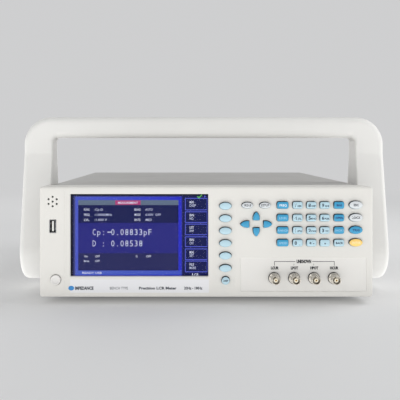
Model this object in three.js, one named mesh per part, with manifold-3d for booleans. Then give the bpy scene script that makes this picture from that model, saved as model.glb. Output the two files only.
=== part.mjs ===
// Bench LCR meter, 370 mm wide, with a 7 inch colour display, a 37-key front
// panel, four BNC test jacks, a sheet-metal case and a swinging carry handle.
//
// Millimetres, +Z up, +X to the right of the front panel, the front faces -Y.
// Origin: centre of the footprint (handle and connectors included), on the
// plane the four feet stand on.
//
// Parts are laid out in (x, depth, height): depth is the distance behind the
// front face of the bezel, height the distance above its lower edge.
// Ranges are [from, to]; "tall" is a size along Z.

import * as THREE from 'three';
import { mergeVertices } from 'three/addons/utils/BufferGeometryUtils.js';
import Module from 'manifold-3d';

const wasm = await Module();
wasm.setup();

// --------------------------------------------------------- shared dimensions
const FOOT_HEIGHT = 8;       // bezel lower edge above the table
const OVERLAP = 0.1;         // how far joined shapes run into each other

const BEZEL = {
  width: 370,
  tall: 122.6,
  depth: 28,
  corner: 3.2,               // corner radius seen from the front
  edge: 2.2,                 // rounding of the front edge
  wall: 3,                   // thickness of the front wall and of the rim
};

const CASE_WIDTH = 363;      // top cover, outside
const CASE_TOP = 121.6;      // height of the cover's top face
const CASE_BOTTOM = 4;       // height of the tray's lower face
const CASE_FRONT = BEZEL.depth + 0.3;
const CASE_BACK = 400;
const SHEET = 1.5;           // sheet-metal thickness

const REAR_PANEL = [396, 398];         // depths of its two faces
const THROUGH_REAR = [395, 399];       // depths of a cut through it
const BEFORE_REAR = REAR_PANEL[0] - 0.4; // depth where the tray and the fan end

const JACK_TIP = -13.6;      // depth of a BNC jack's open end
const REAR_REACH = 408;      // depth of the rearmost point, a connector shell
const MID_DEPTH = (REAR_REACH + JACK_TIP) / 2;

const yAt = (depth) => depth - MID_DEPTH;
const zAt = (height) => height + FOOT_HEIGHT;

// ------------------------------------------------------------ solid helpers
const join = (first, ...rest) => rest.reduce((a, b) => a.add(b), first);
const cut = (first, ...rest) => rest.reduce((a, b) => a.subtract(b), first);
const around = (centre, half) => [centre - half, centre + half];
const middle = ([from, to]) => (from + to) / 2;
const count = (total, make) => Array.from({ length: total }, (_, i) => make(i));

// Moves a geometry to (x, depth, height) and makes it a solid.
function solidAt(geometry, [x, depth, height]) {
  geometry.translate(x, yAt(depth), zAt(height));
  geometry.deleteAttribute('normal');
  geometry.deleteAttribute('uv');
  const merged = mergeVertices(geometry, 1e-4);
  return new wasm.Manifold(new wasm.Mesh({
    numProp: 3,
    vertProperties: new Float32Array(merged.attributes.position.array),
    triVerts: new Uint32Array(merged.index.array),
  }));
}

function box(xs, depths, heights) {
  const ranges = [xs, depths, heights];
  const size = ranges.map(([from, to]) => to - from);
  return solidAt(new THREE.BoxGeometry(...size), ranges.map(middle));
}

// A box centred on a part's x and height.
const boxOn = (part, [halfWidth, halfTall], depths) => box(
  around(part.x, halfWidth), depths, around(part.height, halfTall));

// centre: the other two of (x, depth, height), in that order.
function cylinder(axis, radius, range, centre, sides) {
  const geometry = new THREE.CylinderGeometry(radius, radius, range[1] - range[0], sides);
  const position = [...centre];
  position.splice('xyz'.indexOf(axis), 0, middle(range));
  if (axis === 'x') geometry.rotateZ(-Math.PI / 2);
  if (axis === 'z') geometry.rotateX(Math.PI / 2);
  return solidAt(geometry, position);
}

// Front-view outlines (x, height) pushed through a range of depths.
function prisms(outlines, [from, to]) {
  const geometry = new THREE.ExtrudeGeometry(outlines.map(polygon), {
    depth: to - from, bevelEnabled: false,
  });
  geometry.rotateX(Math.PI / 2);
  return solidAt(geometry, [0, to, 0]);
}
const prism = (outline, depths) => prisms([outline], depths);

// ----------------------------------------------------------------- outlines
// Outlines are point lists, so that a hole and its key match.
function polygon(points) {
  return new THREE.Shape(points.map(([x, y]) => new THREE.Vector2(x, y)));
}

function rectangle(x, y, width, tall) {
  const [left, right] = around(x, width / 2);
  const [bottom, top] = around(y, tall / 2);
  return [[left, bottom], [right, bottom], [right, top], [left, top]];
}

function roundedRect(x, y, width, tall, radius, cornerPoints) {
  return [[1, 1], [-1, 1], [-1, -1], [1, -1]].flatMap(([sideX, sideY], quarter) => (
    count(cornerPoints, (i) => {
      const angle = (quarter + i / (cornerPoints - 1)) * Math.PI / 2;
      return [
        x + sideX * (width / 2 - radius) + radius * Math.cos(angle),
        y + sideY * (tall / 2 - radius) + radius * Math.sin(angle),
      ];
    })));
}

function oval(x, y, width, tall, sides) {
  return count(sides, (i) => {
    const angle = (i + 0.5) / sides * Math.PI * 2;
    return [x + width / 2 * Math.cos(angle), y + tall / 2 * Math.sin(angle)];
  });
}

// A rectangle with its two top corners cut off.
function chamferedTop(x, halfWidth, bottom, top, chamfer) {
  const [left, right] = around(x, halfWidth);
  return [[left, bottom], [right, bottom], [right, top - chamfer], [right - chamfer, top],
    [left + chamfer, top], [left, top - chamfer]];
}

// A run of points followed by its mirror image across x = 0.
const mirrored = (points) => [...points, ...points.map(([x, y]) => [-x, y]).reverse()];

// Arrow key pointing along +x: [share of half length, share of half width].
const ARROW = [
  [-1, 0.80], [-1, -0.80], [-0.86, -0.97], [-0.45, -1], [0.05, -0.90],
  [0.50, -0.66], [0.86, -0.30], [1, 0], [0.86, 0.30],
  [0.50, 0.66], [0.05, 0.90], [-0.45, 1], [-0.86, 0.97],
];
function arrow(centreX, centreY, length, width, turn) {
  const cos = Math.cos(turn);
  const sin = Math.sin(turn);
  return ARROW.map(([along, across]) => {
    const x = along * length / 2;
    const y = across * width / 2;
    return [centreX + x * cos - y * sin, centreY + x * sin + y * cos];
  });
}

// ---------------------------------------------------------------- materials
const material = (settings) => new THREE.MeshStandardMaterial(settings);
const MATERIALS = {
  bezel: material({ color: 0xe5e2de, roughness: 0.55 }),
  handle: material({ color: 0xe2e2de, roughness: 0.55 }),
  blue: material({ color: 0x3c9fd2, roughness: 0.4 }),
  pale: material({ color: 0xbee1f0, roughness: 0.4 }),
  silver: material({ color: 0xdfe3e6, roughness: 0.4 }),
  amber: material({ color: 0xfdd26e, roughness: 0.4 }),
  clear: material({ color: 0x8fa0b8, roughness: 0.05 }),
  lcd: material({ color: 0x3f4348, roughness: 0.5, metalness: 0.4 }),
  sheet: material({ color: 0xb0aeac, roughness: 0.5, metalness: 0.3 }),
  zinc: material({ color: 0xb9bec2, roughness: 0.35, metalness: 0.9 }),
  nickel: material({ color: 0xc9c6bf, roughness: 0.25, metalness: 1 }),
  board: material({ color: 0x1d6b3e, roughness: 0.5 }),
  black: material({ color: 0x1c1c1e, roughness: 0.5 }),
  rubber: material({ color: 0x2b2b2d, roughness: 0.85 }),
  supply: material({ color: 0x9aa0a3, roughness: 0.4, metalness: 0.8 }),
  hub: material({ color: 0xc7c6c2, roughness: 0.5 }),
};

// -------------------------------------------------------- groups and meshes
function addGroup(parent) {
  const group = new THREE.Group();
  parent.add(group);
  return group;
}
const root = new THREE.Group();
const front = addGroup(root);
const keypad = addGroup(front);

// A mesh whose vertices are relative to origin, a world position.
function meshOf(name, manifold, meshMaterial, origin) {
  const { vertProperties, triVerts } = manifold.getMesh();
  const geometry = new THREE.BufferGeometry();
  const positions = new THREE.BufferAttribute(new Float32Array(vertProperties), 3);
  geometry.setAttribute('position', positions);
  geometry.setIndex(Array.from(triVerts));
  geometry.computeVertexNormals();
  geometry.translate(...origin.map((value) => -value));
  const mesh = new THREE.Mesh(geometry, meshMaterial);
  mesh.name = name;
  return mesh;
}

// Adds a mesh with its origin at (x, depth, height).
function place(parent, name, manifold, meshMaterial, [x, depth, height]) {
  const origin = [x, yAt(depth), zAt(height)];
  const mesh = meshOf(name, manifold, meshMaterial, origin);
  mesh.position.set(...origin);
  parent.add(mesh);
}

// --------------------------------------------------------------------- keys
const KEY_GAP = 0.4;         // gap between a key and its hole
const KEY_OUT = 3.5;         // a key stands this far out of the panel
const FLANGE_DEPTH = 3.3;    // depth where a key's flange starts
const FLANGE_THICK = 1.1;
const FLANGE_REACH = 0.9;    // flange reach past the cap outline
const POWER = { x: -167.1, height: 19.2, diameter: 11.2, out: 2.2, flangeReach: 1 };

const SOFT_HEIGHTS = [101.3, 87.5, 73.8, 60.0, 46.2, 32.4];
const ROW_HEIGHTS = [102.2, 88.2, 74.4, 60.5];
const OVAL_COLUMN_RISE = 0.3; // right-hand oval keys sit this far above the rows

const { blue, pale, silver, amber } = MATERIALS;

// name, kind, x, height, width, tall, material
const SINGLE_KEYS = [
  ['key_display', 'oval', 21.4, 18.7, 9.0, 9.0, pale],
  ['key_measure', 'oval', 45.5, 102.1, 12.6, 6.8, silver],
  ['key_setup', 'oval', 65.0, 102.1, 12.6, 6.8, silver],
  // For arrow keys the sizes are length along the arrow and width across it.
  ['key_arrow_up', 'up', 55.4, 90.1, 9.2, 7.3, blue],
  ['key_arrow_left', 'left', 42.7, 81.1, 9.8, 7.6, blue],
  ['key_arrow_right', 'right', 68.0, 81.1, 9.4, 7.6, blue],
  ['key_arrow_down', 'down', 55.4, 72.5, 9.5, 7.3, blue],
];
// x, width, names from the top row down, their materials
const COLUMNS = [
  [84.6, 12.7, ['frequency', 'level', 'range', 'speed'], [blue, blue, blue, blue]],
  [101.1, 10.8, ['7', '4', '1', '0'], [pale, pale, pale, pale]],
  [116.4, 10.8, ['8', '5', '2', 'sign'], [pale, pale, pale, pale]],
  [131.2, 10.8, ['9', '6', '3', 'point'], [pale, pale, pale, pale]],
  [146.9, 11.2, ['bias', 'open', 'short', 'back'], [blue, blue, blue, pale]],
];
// name, material
const OVAL_COLUMN = [['escape', silver], ['lock', silver], ['trigger', blue], ['enter', amber]];

const KEYS = [
  ...SOFT_HEIGHTS.map((height, i) => (
    [`key_soft_${i + 1}`, 'oval', 21.2, height, 13.7, 8.2, pale])),
  ...SINGLE_KEYS,
  ...COLUMNS.flatMap(([x, width, names, colours]) => names.map((name, i) => (
    [`key_${name}`, 'rect', x, ROW_HEIGHTS[i], width, 7.8, colours[i]]))),
  ...OVAL_COLUMN.map(([name, colour], i) => (
    [`key_${name}`, 'oval', 165.5, ROW_HEIGHTS[i] + OVAL_COLUMN_RISE, 15.1, 8.9, colour])),
].map(([name, kind, x, height, width, tall, colour]) => (
  { name, kind, x, height, width, tall, colour }));

const ARROW_TURN = { right: 0, up: Math.PI / 2, left: Math.PI, down: -Math.PI / 2 };

// Outline of a key, grown outwards on all sides.
function keyOutline({ kind, x, height, width, tall }, grow) {
  const size = [width + 2 * grow, tall + 2 * grow];
  if (kind === 'rect') return roundedRect(x, height, ...size, 2.0 + grow, 3);
  if (kind === 'oval') return oval(x, height, ...size, 16);
  return arrow(x, height, ...size, ARROW_TURN[kind]);
}

function powerOutline(grow) {
  const diameter = POWER.diameter + 2 * grow;
  return oval(POWER.x, POWER.height, diameter, diameter, 20);
}

// A cap through the front wall with a wider flange behind it.
function button(capOutline, flangeOutline, out) {
  return join(
    prism(capOutline, [-out, FLANGE_DEPTH + OVERLAP]),
    prism(flangeOutline, [FLANGE_DEPTH, FLANGE_DEPTH + FLANGE_THICK]),
  );
}

for (const key of KEYS) {
  const body = button(keyOutline(key, 0), keyOutline(key, FLANGE_REACH), KEY_OUT);
  place(keypad, key.name, body, key.colour, [key.x, 0, key.height]);
}
place(front, 'power_button',
  button(powerOutline(0), powerOutline(POWER.flangeReach), POWER.out),
  silver, [POWER.x, 0, POWER.height]);

// -------------------------------------------------------------------- bezel
const WINDOW = { x: -74.3, height: 68.5, width: 153.2, tall: 90.9 }; // display opening
const POCKET = { xs: [38, 178], heights: [6.4, 43.2], depth: 0.6 };  // recess round the jacks
const SPEAKER = { x: -170.6, height: 106.0, ring: 5.2, holeRadius: 1.15 };
const USB = { x: -170.4, height: 78.6, width: 7.6, tall: 14.9 };
const JACK = { firstX: 75.45, pitch: 22, height: 21.1, holeDiameter: 11.2 };
const JACK_XS = count(4, (i) => JACK.firstX + i * JACK.pitch);

function bezelBlank() {
  const { width, tall, corner, edge } = BEZEL;
  const length = 40;         // longer than the bezel, so the rear bevel is cut away
  const outline = roundedRect(0, tall / 2, width - 2 * edge, tall - 2 * edge, corner - edge, 4);
  const geometry = new THREE.ExtrudeGeometry(polygon(outline), {
    depth: length, bevelThickness: edge, bevelSize: edge, bevelSegments: 3,
  });
  geometry.rotateX(Math.PI / 2);
  return solidAt(geometry, [0, length + edge, 0]);
}

function speakerHoles() {
  const { x, height, ring, holeRadius } = SPEAKER;
  const hole = (holeX, holeY) => oval(holeX, holeY, 2 * holeRadius, 2 * holeRadius, 8);
  return [hole(x, height), ...count(6, (i) => {
    const angle = Math.PI / 2 + i * Math.PI / 3;
    return hole(x + ring * Math.cos(angle), height + ring * Math.sin(angle));
  })];
}

function frontBezel() {
  const { width, tall, depth, wall } = BEZEL;
  const inside = roundedRect(0, tall / 2, width - 2 * wall, tall - 2 * wall, 3, 3);
  const holes = [
    ...KEYS.map((key) => keyOutline(key, KEY_GAP)),
    powerOutline(KEY_GAP),
    rectangle(WINDOW.x, WINDOW.height, WINDOW.width, WINDOW.tall),
    ...JACK_XS.map((x) => oval(x, JACK.height, JACK.holeDiameter, JACK.holeDiameter, 16)),
    ...speakerHoles(),
    rectangle(USB.x, USB.height, USB.width, USB.tall),
  ];
  return cut(
    bezelBlank(),
    box([-200, 200], [depth, 60], [-20, 150]),
    prism(inside, [wall, depth + 2]),
    box(POCKET.xs, [-1, POCKET.depth], POCKET.heights),
    prisms(holes, [-1, wall + 1]),
  );
}
place(front, 'front_bezel', frontBezel(), MATERIALS.bezel, [0, 0, 0]);

// ------------------------------------------------------------------ display
// A pane that fills the opening, with a wider flange behind the wall.
function displayWindow() {
  const gap = 0.3;
  return join(
    boxOn(WINDOW, [WINDOW.width / 2 - gap, WINDOW.tall / 2 - gap], [0.5, 3.4]),
    boxOn(WINDOW, [80.3, 49.5], [3.3, 4.5]),
  );
}

// Metal back frame with a driver board and a connector on its back.
function lcdModule() {
  const { x, height } = WINDOW;
  return join(
    boxOn(WINDOW, [82.5, 50], [4.9, 10.4]),
    boxOn(WINDOW, [60, 30], [10.3, 12.2]),
    box(around(x, 20), [12.1, 16], [height - 26, height - 18]),
  );
}
const windowOrigin = [WINDOW.x, 0, WINDOW.height];
place(front, 'display_window', displayWindow(), MATERIALS.clear, windowOrigin);
place(front, 'lcd_module', lcdModule(), MATERIALS.lcd, windowOrigin);

// ------------------------------------------------------------- front boards
const BOARD = [8.0, 9.6];              // depths of both front boards
const ON_BOARD = BOARD[0] + OVERLAP;   // where parts on their front faces end

// L-shaped board with a square switch behind each key and a connector.
function keypadBoard() {
  const outline = [[11.5, 12], [33, 12], [33, 50], [178.5, 50], [178.5, 112], [11.5, 112]];
  const switches = KEYS.map(({ x, height }) => rectangle(x, height, 5, 5));
  return join(
    prism(outline, BOARD),
    prisms(switches, [5.8, ON_BOARD]),
    box([80, 130], [BOARD[1] - OVERLAP, 14], [104, 110]),
  );
}
place(front, 'keypad_board', keypadBoard(), MATERIALS.board, [0, 0, 0]);

// USB host socket, buzzer and power switch on one narrow board.
function usbBuzzerBoard() {
  const shell = cut(
    boxOn(USB, [3.4, 7.05], [-0.2, ON_BOARD]),
    boxOn(USB, [2.9, 6.55], [-1, 7.0]),
  );
  const tongue = boxOn(USB, [1.0, 5.6], [0.8, 7.1]);
  const buzzer = cylinder('y', 8, [4.2, ON_BOARD], [SPEAKER.x, SPEAKER.height], 16);
  const powerSwitch = boxOn(POWER, [3, 3], [6.4, ON_BOARD]);
  return join(box([-181, -159], BOARD, [8, 115]), shell, tongue, buzzer, powerSwitch);
}
place(front, 'usb_buzzer_board', usbBuzzerBoard(), MATERIALS.zinc, [USB.x, 0, USB.height]);

// ---------------------------------------------------------------- BNC jacks
// Turned section, centre contact first: [radius, depth].
const JACK_PROFILE = [
  [0, -10.5], [2.3, -10.5], [2.3, -3], [4.05, -3], [4.05, JACK_TIP], [4.85, JACK_TIP],
  [4.85, -1.6], [6.6, -1.6], [6.6, 0.3], [5.0, 0.3], [5.0, 12], [4.6, 12], [4.6, 20], [0, 20],
];
// From left to right.
const JACK_NAMES = [
  'bnc_low_current', 'bnc_low_potential', 'bnc_high_potential', 'bnc_high_current',
];

// The turned body with two bayonet lugs near its open end.
function bncJack(x) {
  const { height } = JACK;
  const points = JACK_PROFILE.map(([radius, depth]) => new THREE.Vector2(radius, depth));
  const body = solidAt(new THREE.LatheGeometry(points, 16), [x, 0, height]);
  const lugs = cut(
    boxOn({ x, height }, [5.6, 0.8], [-11, -9.2]),
    cylinder('y', 4.5, [-12, -8], [x, height], 16),
  );
  return join(body, lugs);
}
const jacks = addGroup(front);
JACK_NAMES.forEach((name, i) => {
  place(jacks, name, bncJack(JACK_XS[i]), MATERIALS.nickel, [JACK_XS[i], 0, JACK.height]);
});

// --------------------------------------------------------------------- case
const caseGroup = addGroup(root);

// Inverted U with cooling slots in both sides.
function topCover() {
  const half = CASE_WIDTH / 2;
  const corner = 3;
  const bend = corner * 0.29;          // inset of the middle point of a corner
  const slots = { count: 12, first: 255, pitch: 9, width: 4, heights: [38, 84] };
  const outer = mirrored([[half, CASE_BOTTOM], [half, CASE_TOP - corner],
    [half - bend, CASE_TOP - bend], [half - corner, CASE_TOP]]);
  const inner = mirrored([[-half + SHEET, CASE_BOTTOM], [-half + SHEET, CASE_TOP - corner],
    [-half + corner, CASE_TOP - SHEET]]);
  return cut(
    prism([...outer, ...inner], [CASE_FRONT, CASE_BACK]),
    ...count(slots.count, (i) => {
      const start = slots.first + i * slots.pitch;
      return box([-200, 200], [start, start + slots.width], slots.heights);
    }),
  );
}
place(caseGroup, 'top_cover', topCover(), MATERIALS.sheet, [0, 200, CASE_TOP]);

// Floor, two side walls and standoffs for the main board.
function chassisTray() {
  const half = CASE_WIDTH / 2 - SHEET - 0.5;
  const wallTop = 50;
  const floor = CASE_BOTTOM + SHEET;
  const profile = mirrored([[half, CASE_BOTTOM], [half, wallTop],
    [half - SHEET, wallTop], [half - SHEET, floor]]);
  const standoffs = [[-30, 160], [160, 160], [-30, 380], [160, 380]].map((centre) => (
    cylinder('z', 3.5, [floor - 0.2, 15.2], centre, 8)));
  return join(prism(profile, [28.4, BEFORE_REAR]), ...standoffs);
}
place(caseGroup, 'chassis_tray', chassisTray(), MATERIALS.zinc, [0, 200, CASE_BOTTOM]);

// --------------------------------------------------------------- rear panel
const FAN = { x: -58, height: 64, radius: 38, half: 40, depths: [370.4, BEFORE_REAR] };
const INLET = { x: -140, height: 34, half: [15, 13], opening: [15.5, 13.5] };
// half: half width and half height of the shell; opening: the same for its hole
// in the rear panel.
const WIDE_SOCKET = { x: 40, height: 27, half: [28.4, 6.4], opening: [29, 7] };
const DB9 = { x: 92, height: 27, half: [9.8, 5.8], opening: [10.5, 6.5] };
const RJ = { x: 124, height: 27, half: [8, 6.6], opening: [8.6, 7.2] };
const SQUARE_SOCKET = { x: 148, height: 26, half: [6, 5.5], opening: [6.6, 6.1] };

function rearPanel() {
  const half = CASE_WIDTH / 2 - SHEET - 0.4;
  const top = CASE_TOP - SHEET - 0.4;
  const vents = { columns: 9, first: 30, pitch: 14, width: 9, rows: [[78, 81], [86, 89]] };
  return cut(
    prism(chamferedTop(0, half, CASE_BOTTOM + 0.3, top, 3), REAR_PANEL),
    cylinder('y', FAN.radius - 1, THROUGH_REAR, [FAN.x, FAN.height], 24),
    ...[INLET, WIDE_SOCKET, DB9, RJ, SQUARE_SOCKET].map((part) => (
      boxOn(part, part.opening, THROUGH_REAR))),
    ...count(vents.columns, (i) => {
      const left = vents.first + i * vents.pitch;
      return vents.rows.map((heights) => box([left, left + vents.width], THROUGH_REAR, heights));
    }).flat(),
  );
}
place(caseGroup, 'rear_panel', rearPanel(), MATERIALS.sheet, [0, middle(REAR_PANEL), 60]);

// Flange outside the panel, three blades inside the socket.
function mainsInlet() {
  const { x, height, half } = INLET;
  const housing = join(
    boxOn(INLET, [25, 15.5], [398.3, 401.3]),
    boxOn(INLET, half, [376, 398.4]),
  );
  const socket = prism(chamferedTop(x, 12, height - 8.2, height + 8.2, 4), [384, 403]);
  const blades = [[-7, -2], [7, -2], [0, 2]].map(([across, up]) => (
    boxOn({ x: x + across, height: height + up }, [1, 2], [383.8, 399])));
  return join(cut(housing, socket), ...blades);
}
place(caseGroup, 'mains_inlet', mainsInlet(), MATERIALS.black,
  [INLET.x, REAR_PANEL[1], INLET.height]);

// ---------------------------------------------------------------------- fan
const [FAN_FRONT, FAN_BACK] = FAN.depths;
const fanCentre = [FAN.x, FAN.height];
const fanOrigin = [FAN.x, middle(FAN.depths), FAN.height];

// Square frame with two crossed struts and a bored hub at the back.
function fanFrame() {
  const strut = (turn) => {
    const geometry = new THREE.BoxGeometry(80, 2.5, 4);
    geometry.rotateY(turn);
    return solidAt(geometry, [FAN.x, FAN_BACK - 1.6, FAN.height]);
  };
  const duct = cut(
    boxOn(FAN, [FAN.half, FAN.half], FAN.depths),
    cylinder('y', FAN.radius, [FAN_FRONT - 1, FAN_BACK + 1], fanCentre, 24),
  );
  const hub = cylinder('y', 17, [FAN_BACK - 3, FAN_BACK - 0.3], fanCentre, 16);
  const bore = cylinder('y', 2.6, [FAN_BACK - 4, FAN_BACK + 1], fanCentre, 12);
  return cut(join(duct, strut(Math.PI / 4), strut(-Math.PI / 4), hub), bore);
}
place(caseGroup, 'fan_frame', fanFrame(), MATERIALS.black, fanOrigin);

// Cup, shaft through the frame's hub, seven pitched blades.
function fanRotor() {
  const cup = [FAN_FRONT + 1.5, FAN_BACK - 3.8];
  const bladeCount = 7;
  const blades = count(bladeCount, (i) => {
    const geometry = new THREE.BoxGeometry(22, 1.4, 20);
    geometry.rotateX(-0.85);           // blade pitch
    geometry.translate(25.0, 0, 0);
    geometry.rotateY((i / bladeCount) * Math.PI * 2);
    return solidAt(geometry, [FAN.x, middle(cup), FAN.height]);
  });
  return join(
    cylinder('y', 16, cup, fanCentre, 16),
    cylinder('y', 2, [FAN_BACK - 4, FAN_BACK - 1], fanCentre, 8),
    ...blades,
  );
}
place(caseGroup, 'fan_rotor', fanRotor(), MATERIALS.black, fanOrigin);

// --------------------------------------------------------------- main board
// Board with the measuring section's screening can and the rear connectors.
function mainBoard() {
  const top = 17;                      // parts start just inside the board
  // A block standing on the board under or around a connector.
  const base = (part, half, depths, partTop) => box(around(part.x, half), depths, [top, partTop]);
  const solids = join(
    box([-45, 172], [150, 393], [15.5, 17.1]),
    box([40, 165], [165, 270], [top, 35]),       // screening can
    box([-30, 5], [190, 225], [top, 21]),        // processor
    box([-30, -5], [250, 290], [top, 20]),       // memory and logic
    box([-40, -28], [320, 345], [top, 42]),      // regulator heat sink
    boxOn(WIDE_SOCKET, WIDE_SOCKET.half, [380, REAR_REACH]),
    base(WIDE_SOCKET, 20, [378, 392], WIDE_SOCKET.height),
    boxOn(DB9, DB9.half, [380, 404]),
    base(DB9, 9, [378, 392], DB9.height),
    base(RJ, RJ.half[0], [378, 394], RJ.height + RJ.half[1]),
    boxOn(RJ, RJ.half, [393, 400]),
    base(SQUARE_SOCKET, SQUARE_SOCKET.half[0], [380, 394],
      SQUARE_SOCKET.height + SQUARE_SOCKET.half[1]),
    boxOn(SQUARE_SOCKET, SQUARE_SOCKET.half, [393, 400]),
  );
  const opened = cut(
    solids,
    boxOn(WIDE_SOCKET, [25, 4.2], [398, 410]),
    boxOn(DB9, [8.6, 4.4], [399, 410]),
    box(around(RJ.x, 6), [388, 401], [RJ.height - 4.5, RJ.height + 4.2]),
    boxOn(SQUARE_SOCKET, [4.2, 3.8], [391, 401]),
  );
  // Tongues inside two of the openings.
  return join(
    opened,
    boxOn(WIDE_SOCKET, [22, 1.2], [397.5, 405]),
    boxOn(SQUARE_SOCKET, [2.6, 1.5], [390.5, 398.5]),
  );
}
place(caseGroup, 'main_board', mainBoard(), MATERIALS.board, [60, 270, 16]);

// ------------------------------------------------------------- power supply
// Board with a transformer, capacitors, a heat sink and other blocks.
function powerSupply() {
  const top = 12.5;                    // parts start just inside the board
  const capacitor = (depth) => cylinder('z', 11, [top, 46], [-95, depth], 12);
  return join(
    box([-168, -62], [190, 352], [11, 12.6]),
    box([-160, -118], [205, 250], [top, 52]),
    capacitor(215),
    capacitor(242),
    box([-80, -74], [265, 340], [top, 60]),
    box([-150, -110], [280, 315], [top, 44]),
    box([-158, -130], [328, 348], [top, 30]),
  );
}
place(caseGroup, 'power_supply', powerSupply(), MATERIALS.supply, [-115, 270, 12]);

// --------------------------------------------------------------------- feet
const FOOT = { x: 135, topRadius: 13, bottomRadius: 11.5, top: 0.8 };

// A flat bar across the case with a tapered foot near each end.
function footBar(depth) {
  const length = FOOT_HEIGHT + FOOT.top;
  const feet = [-FOOT.x, FOOT.x].map((x) => {
    const geometry = new THREE.CylinderGeometry(FOOT.topRadius, FOOT.bottomRadius, length, 20);
    geometry.rotateX(Math.PI / 2);
    return solidAt(geometry, [x, depth, middle([-FOOT_HEIGHT, FOOT.top])]);
  });
  return join(box([-150, 150], around(depth, FOOT.topRadius), [0.6, CASE_BOTTOM - 0.3]), ...feet);
}
for (const [name, depth] of [['front_foot_bar', 55], ['rear_foot_bar', 365]]) {
  place(caseGroup, name, footBar(depth), MATERIALS.rubber, [0, depth, -FOOT_HEIGHT]);
}

// ------------------------------------------------------------------- handle
const AXIS = { depth: 94, height: 40 };
const PIN = { radius: 10, end: 203, gap: 0.6 };  // pivot spigot, and its gap in the bore
const HUB_FACE = 187;        // x of the hub disc's outer face
const HANDLE = {
  inside: 187.5,             // x of the arms' inner faces
  thick: 36,                 // arm thickness along X
  hubRadius: 38,
  armWidth: 30,
  armStraight: 118,          // axis to where the arm becomes parallel
  barInside: 138,            // axis to the inside of the cross bar
  barOutside: 164,           // axis to the outside of the cross bar
  edge: 7,                   // bevel of the arms
  topCorner: 34,             // radius of the two top corners
};
const HANDLE_OUTSIDE = HANDLE.inside + HANDLE.thick;

// A cylinder about the handle's axis; side is -1 for left, 1 for right.
function axial(side, radius, [from, to], sides) {
  const range = side > 0 ? [from, to] : [-to, -from];
  return cylinder('x', radius, range, [AXIS.depth, AXIS.height], sides);
}

const handleHub = (side) => join(
  axial(side, 32, [CASE_WIDTH / 2 + 0.3, HUB_FACE], 28),
  axial(side, PIN.radius, [HUB_FACE - OVERLAP, PIN.end], 20),
);
for (const [name, side] of [['handle_hub_left', -1], ['handle_hub_right', 1]]) {
  place(caseGroup, name, handleHub(side), MATERIALS.hub, [side * 184, AXIS.depth, AXIS.height]);
}

// Extrudes a side-view outline (y, z from the axis) along +X, starting at x.
function alongX(outline, options, x) {
  const geometry = new THREE.ExtrudeGeometry(polygon(outline), options);
  geometry.rotateX(Math.PI / 2);
  geometry.rotateZ(Math.PI / 2);
  return solidAt(geometry, [x, AXIS.depth, AXIS.height]);
}

// Side view of an arm: a hub disc running tangentially into a straight arm,
// drawn smaller by the bevel so that the bevelled arm has its full size.
function armOutline() {
  const { hubRadius, armWidth, armStraight, barOutside, edge } = HANDLE;
  const half = armWidth / 2;
  const lean = Math.asin((hubRadius - half) / armStraight);
  const start = Math.PI - lean;
  const sweep = Math.PI + 2 * lean;
  const segments = 24;
  const radius = hubRadius - edge;
  const disc = count(segments + 1, (i) => {
    const angle = start + sweep * i / segments;
    return [radius * Math.cos(angle), radius * Math.sin(angle)];
  });
  const top = barOutside - 3 - edge;
  return [...disc, ...mirrored([[half - edge, armStraight], [half - edge, top]])];
}

// An arm whose left-hand face is at x.
function handleArm(x) {
  const { thick, edge } = HANDLE;
  return alongX(armOutline(), {
    depth: thick - 2 * edge, bevelThickness: edge, bevelSize: edge, bevelSegments: 2,
  }, x + edge);
}

function crossBar() {
  const { armWidth, barInside, barOutside } = HANDLE;
  const inset = 10;          // from the arms' outer faces
  const section = roundedRect(0, middle([barInside, barOutside]), armWidth,
    barOutside - barInside, 9, 4);
  const length = 2 * (HANDLE_OUTSIDE - inset);
  return alongX(section, { depth: length, bevelEnabled: false }, -HANDLE_OUTSIDE + inset);
}

// Rounds the two top corners and leaves the lower ends square.
function handleEnvelope() {
  const { hubRadius, barOutside, topCorner } = HANDLE;
  const centreHeight = AXIS.height + (barOutside - hubRadius) / 2;
  const depths = around(AXIS.depth, hubRadius + 2);
  return join(
    prism(roundedRect(0, centreHeight, 2 * HANDLE_OUTSIDE, barOutside + hubRadius,
      topCorner, 7), depths),
    box(around(0, HANDLE_OUTSIDE), depths, [AXIS.height - hubRadius, AXIS.height + 60]),
  );
}

function carryHandle() {
  // Blind bore for a pivot spigot.
  const bore = (side) => axial(side, PIN.radius + PIN.gap,
    [HANDLE.inside - 1, PIN.end + PIN.gap], 20);
  const body = join(handleArm(HANDLE.inside), handleArm(-HANDLE_OUTSIDE), crossBar());
  return cut(body.intersect(handleEnvelope()), bore(1), bore(-1));
}

// The handle turns with its group, which sits on the axis.
const swing = addGroup(root);
const swingOrigin = [0, yAt(AXIS.depth), zAt(AXIS.height)];
swing.position.set(...swingOrigin);
swing.add(meshOf('carry_handle', carryHandle(), MATERIALS.handle, swingOrigin));

export default root;
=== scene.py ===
"""Bench LCR meter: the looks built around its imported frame, for Blender 4.5.

Lengths are millimetres unless noted: x runs to the right, depth runs back from the bezel's front
face, height runs up from the bezel's lower edge. world_point() turns them into the frame's metres.
"""
import math
from functools import cache

import bmesh
import bpy
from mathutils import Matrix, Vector
from mathutils.geometry import tessellate_polygon


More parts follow.
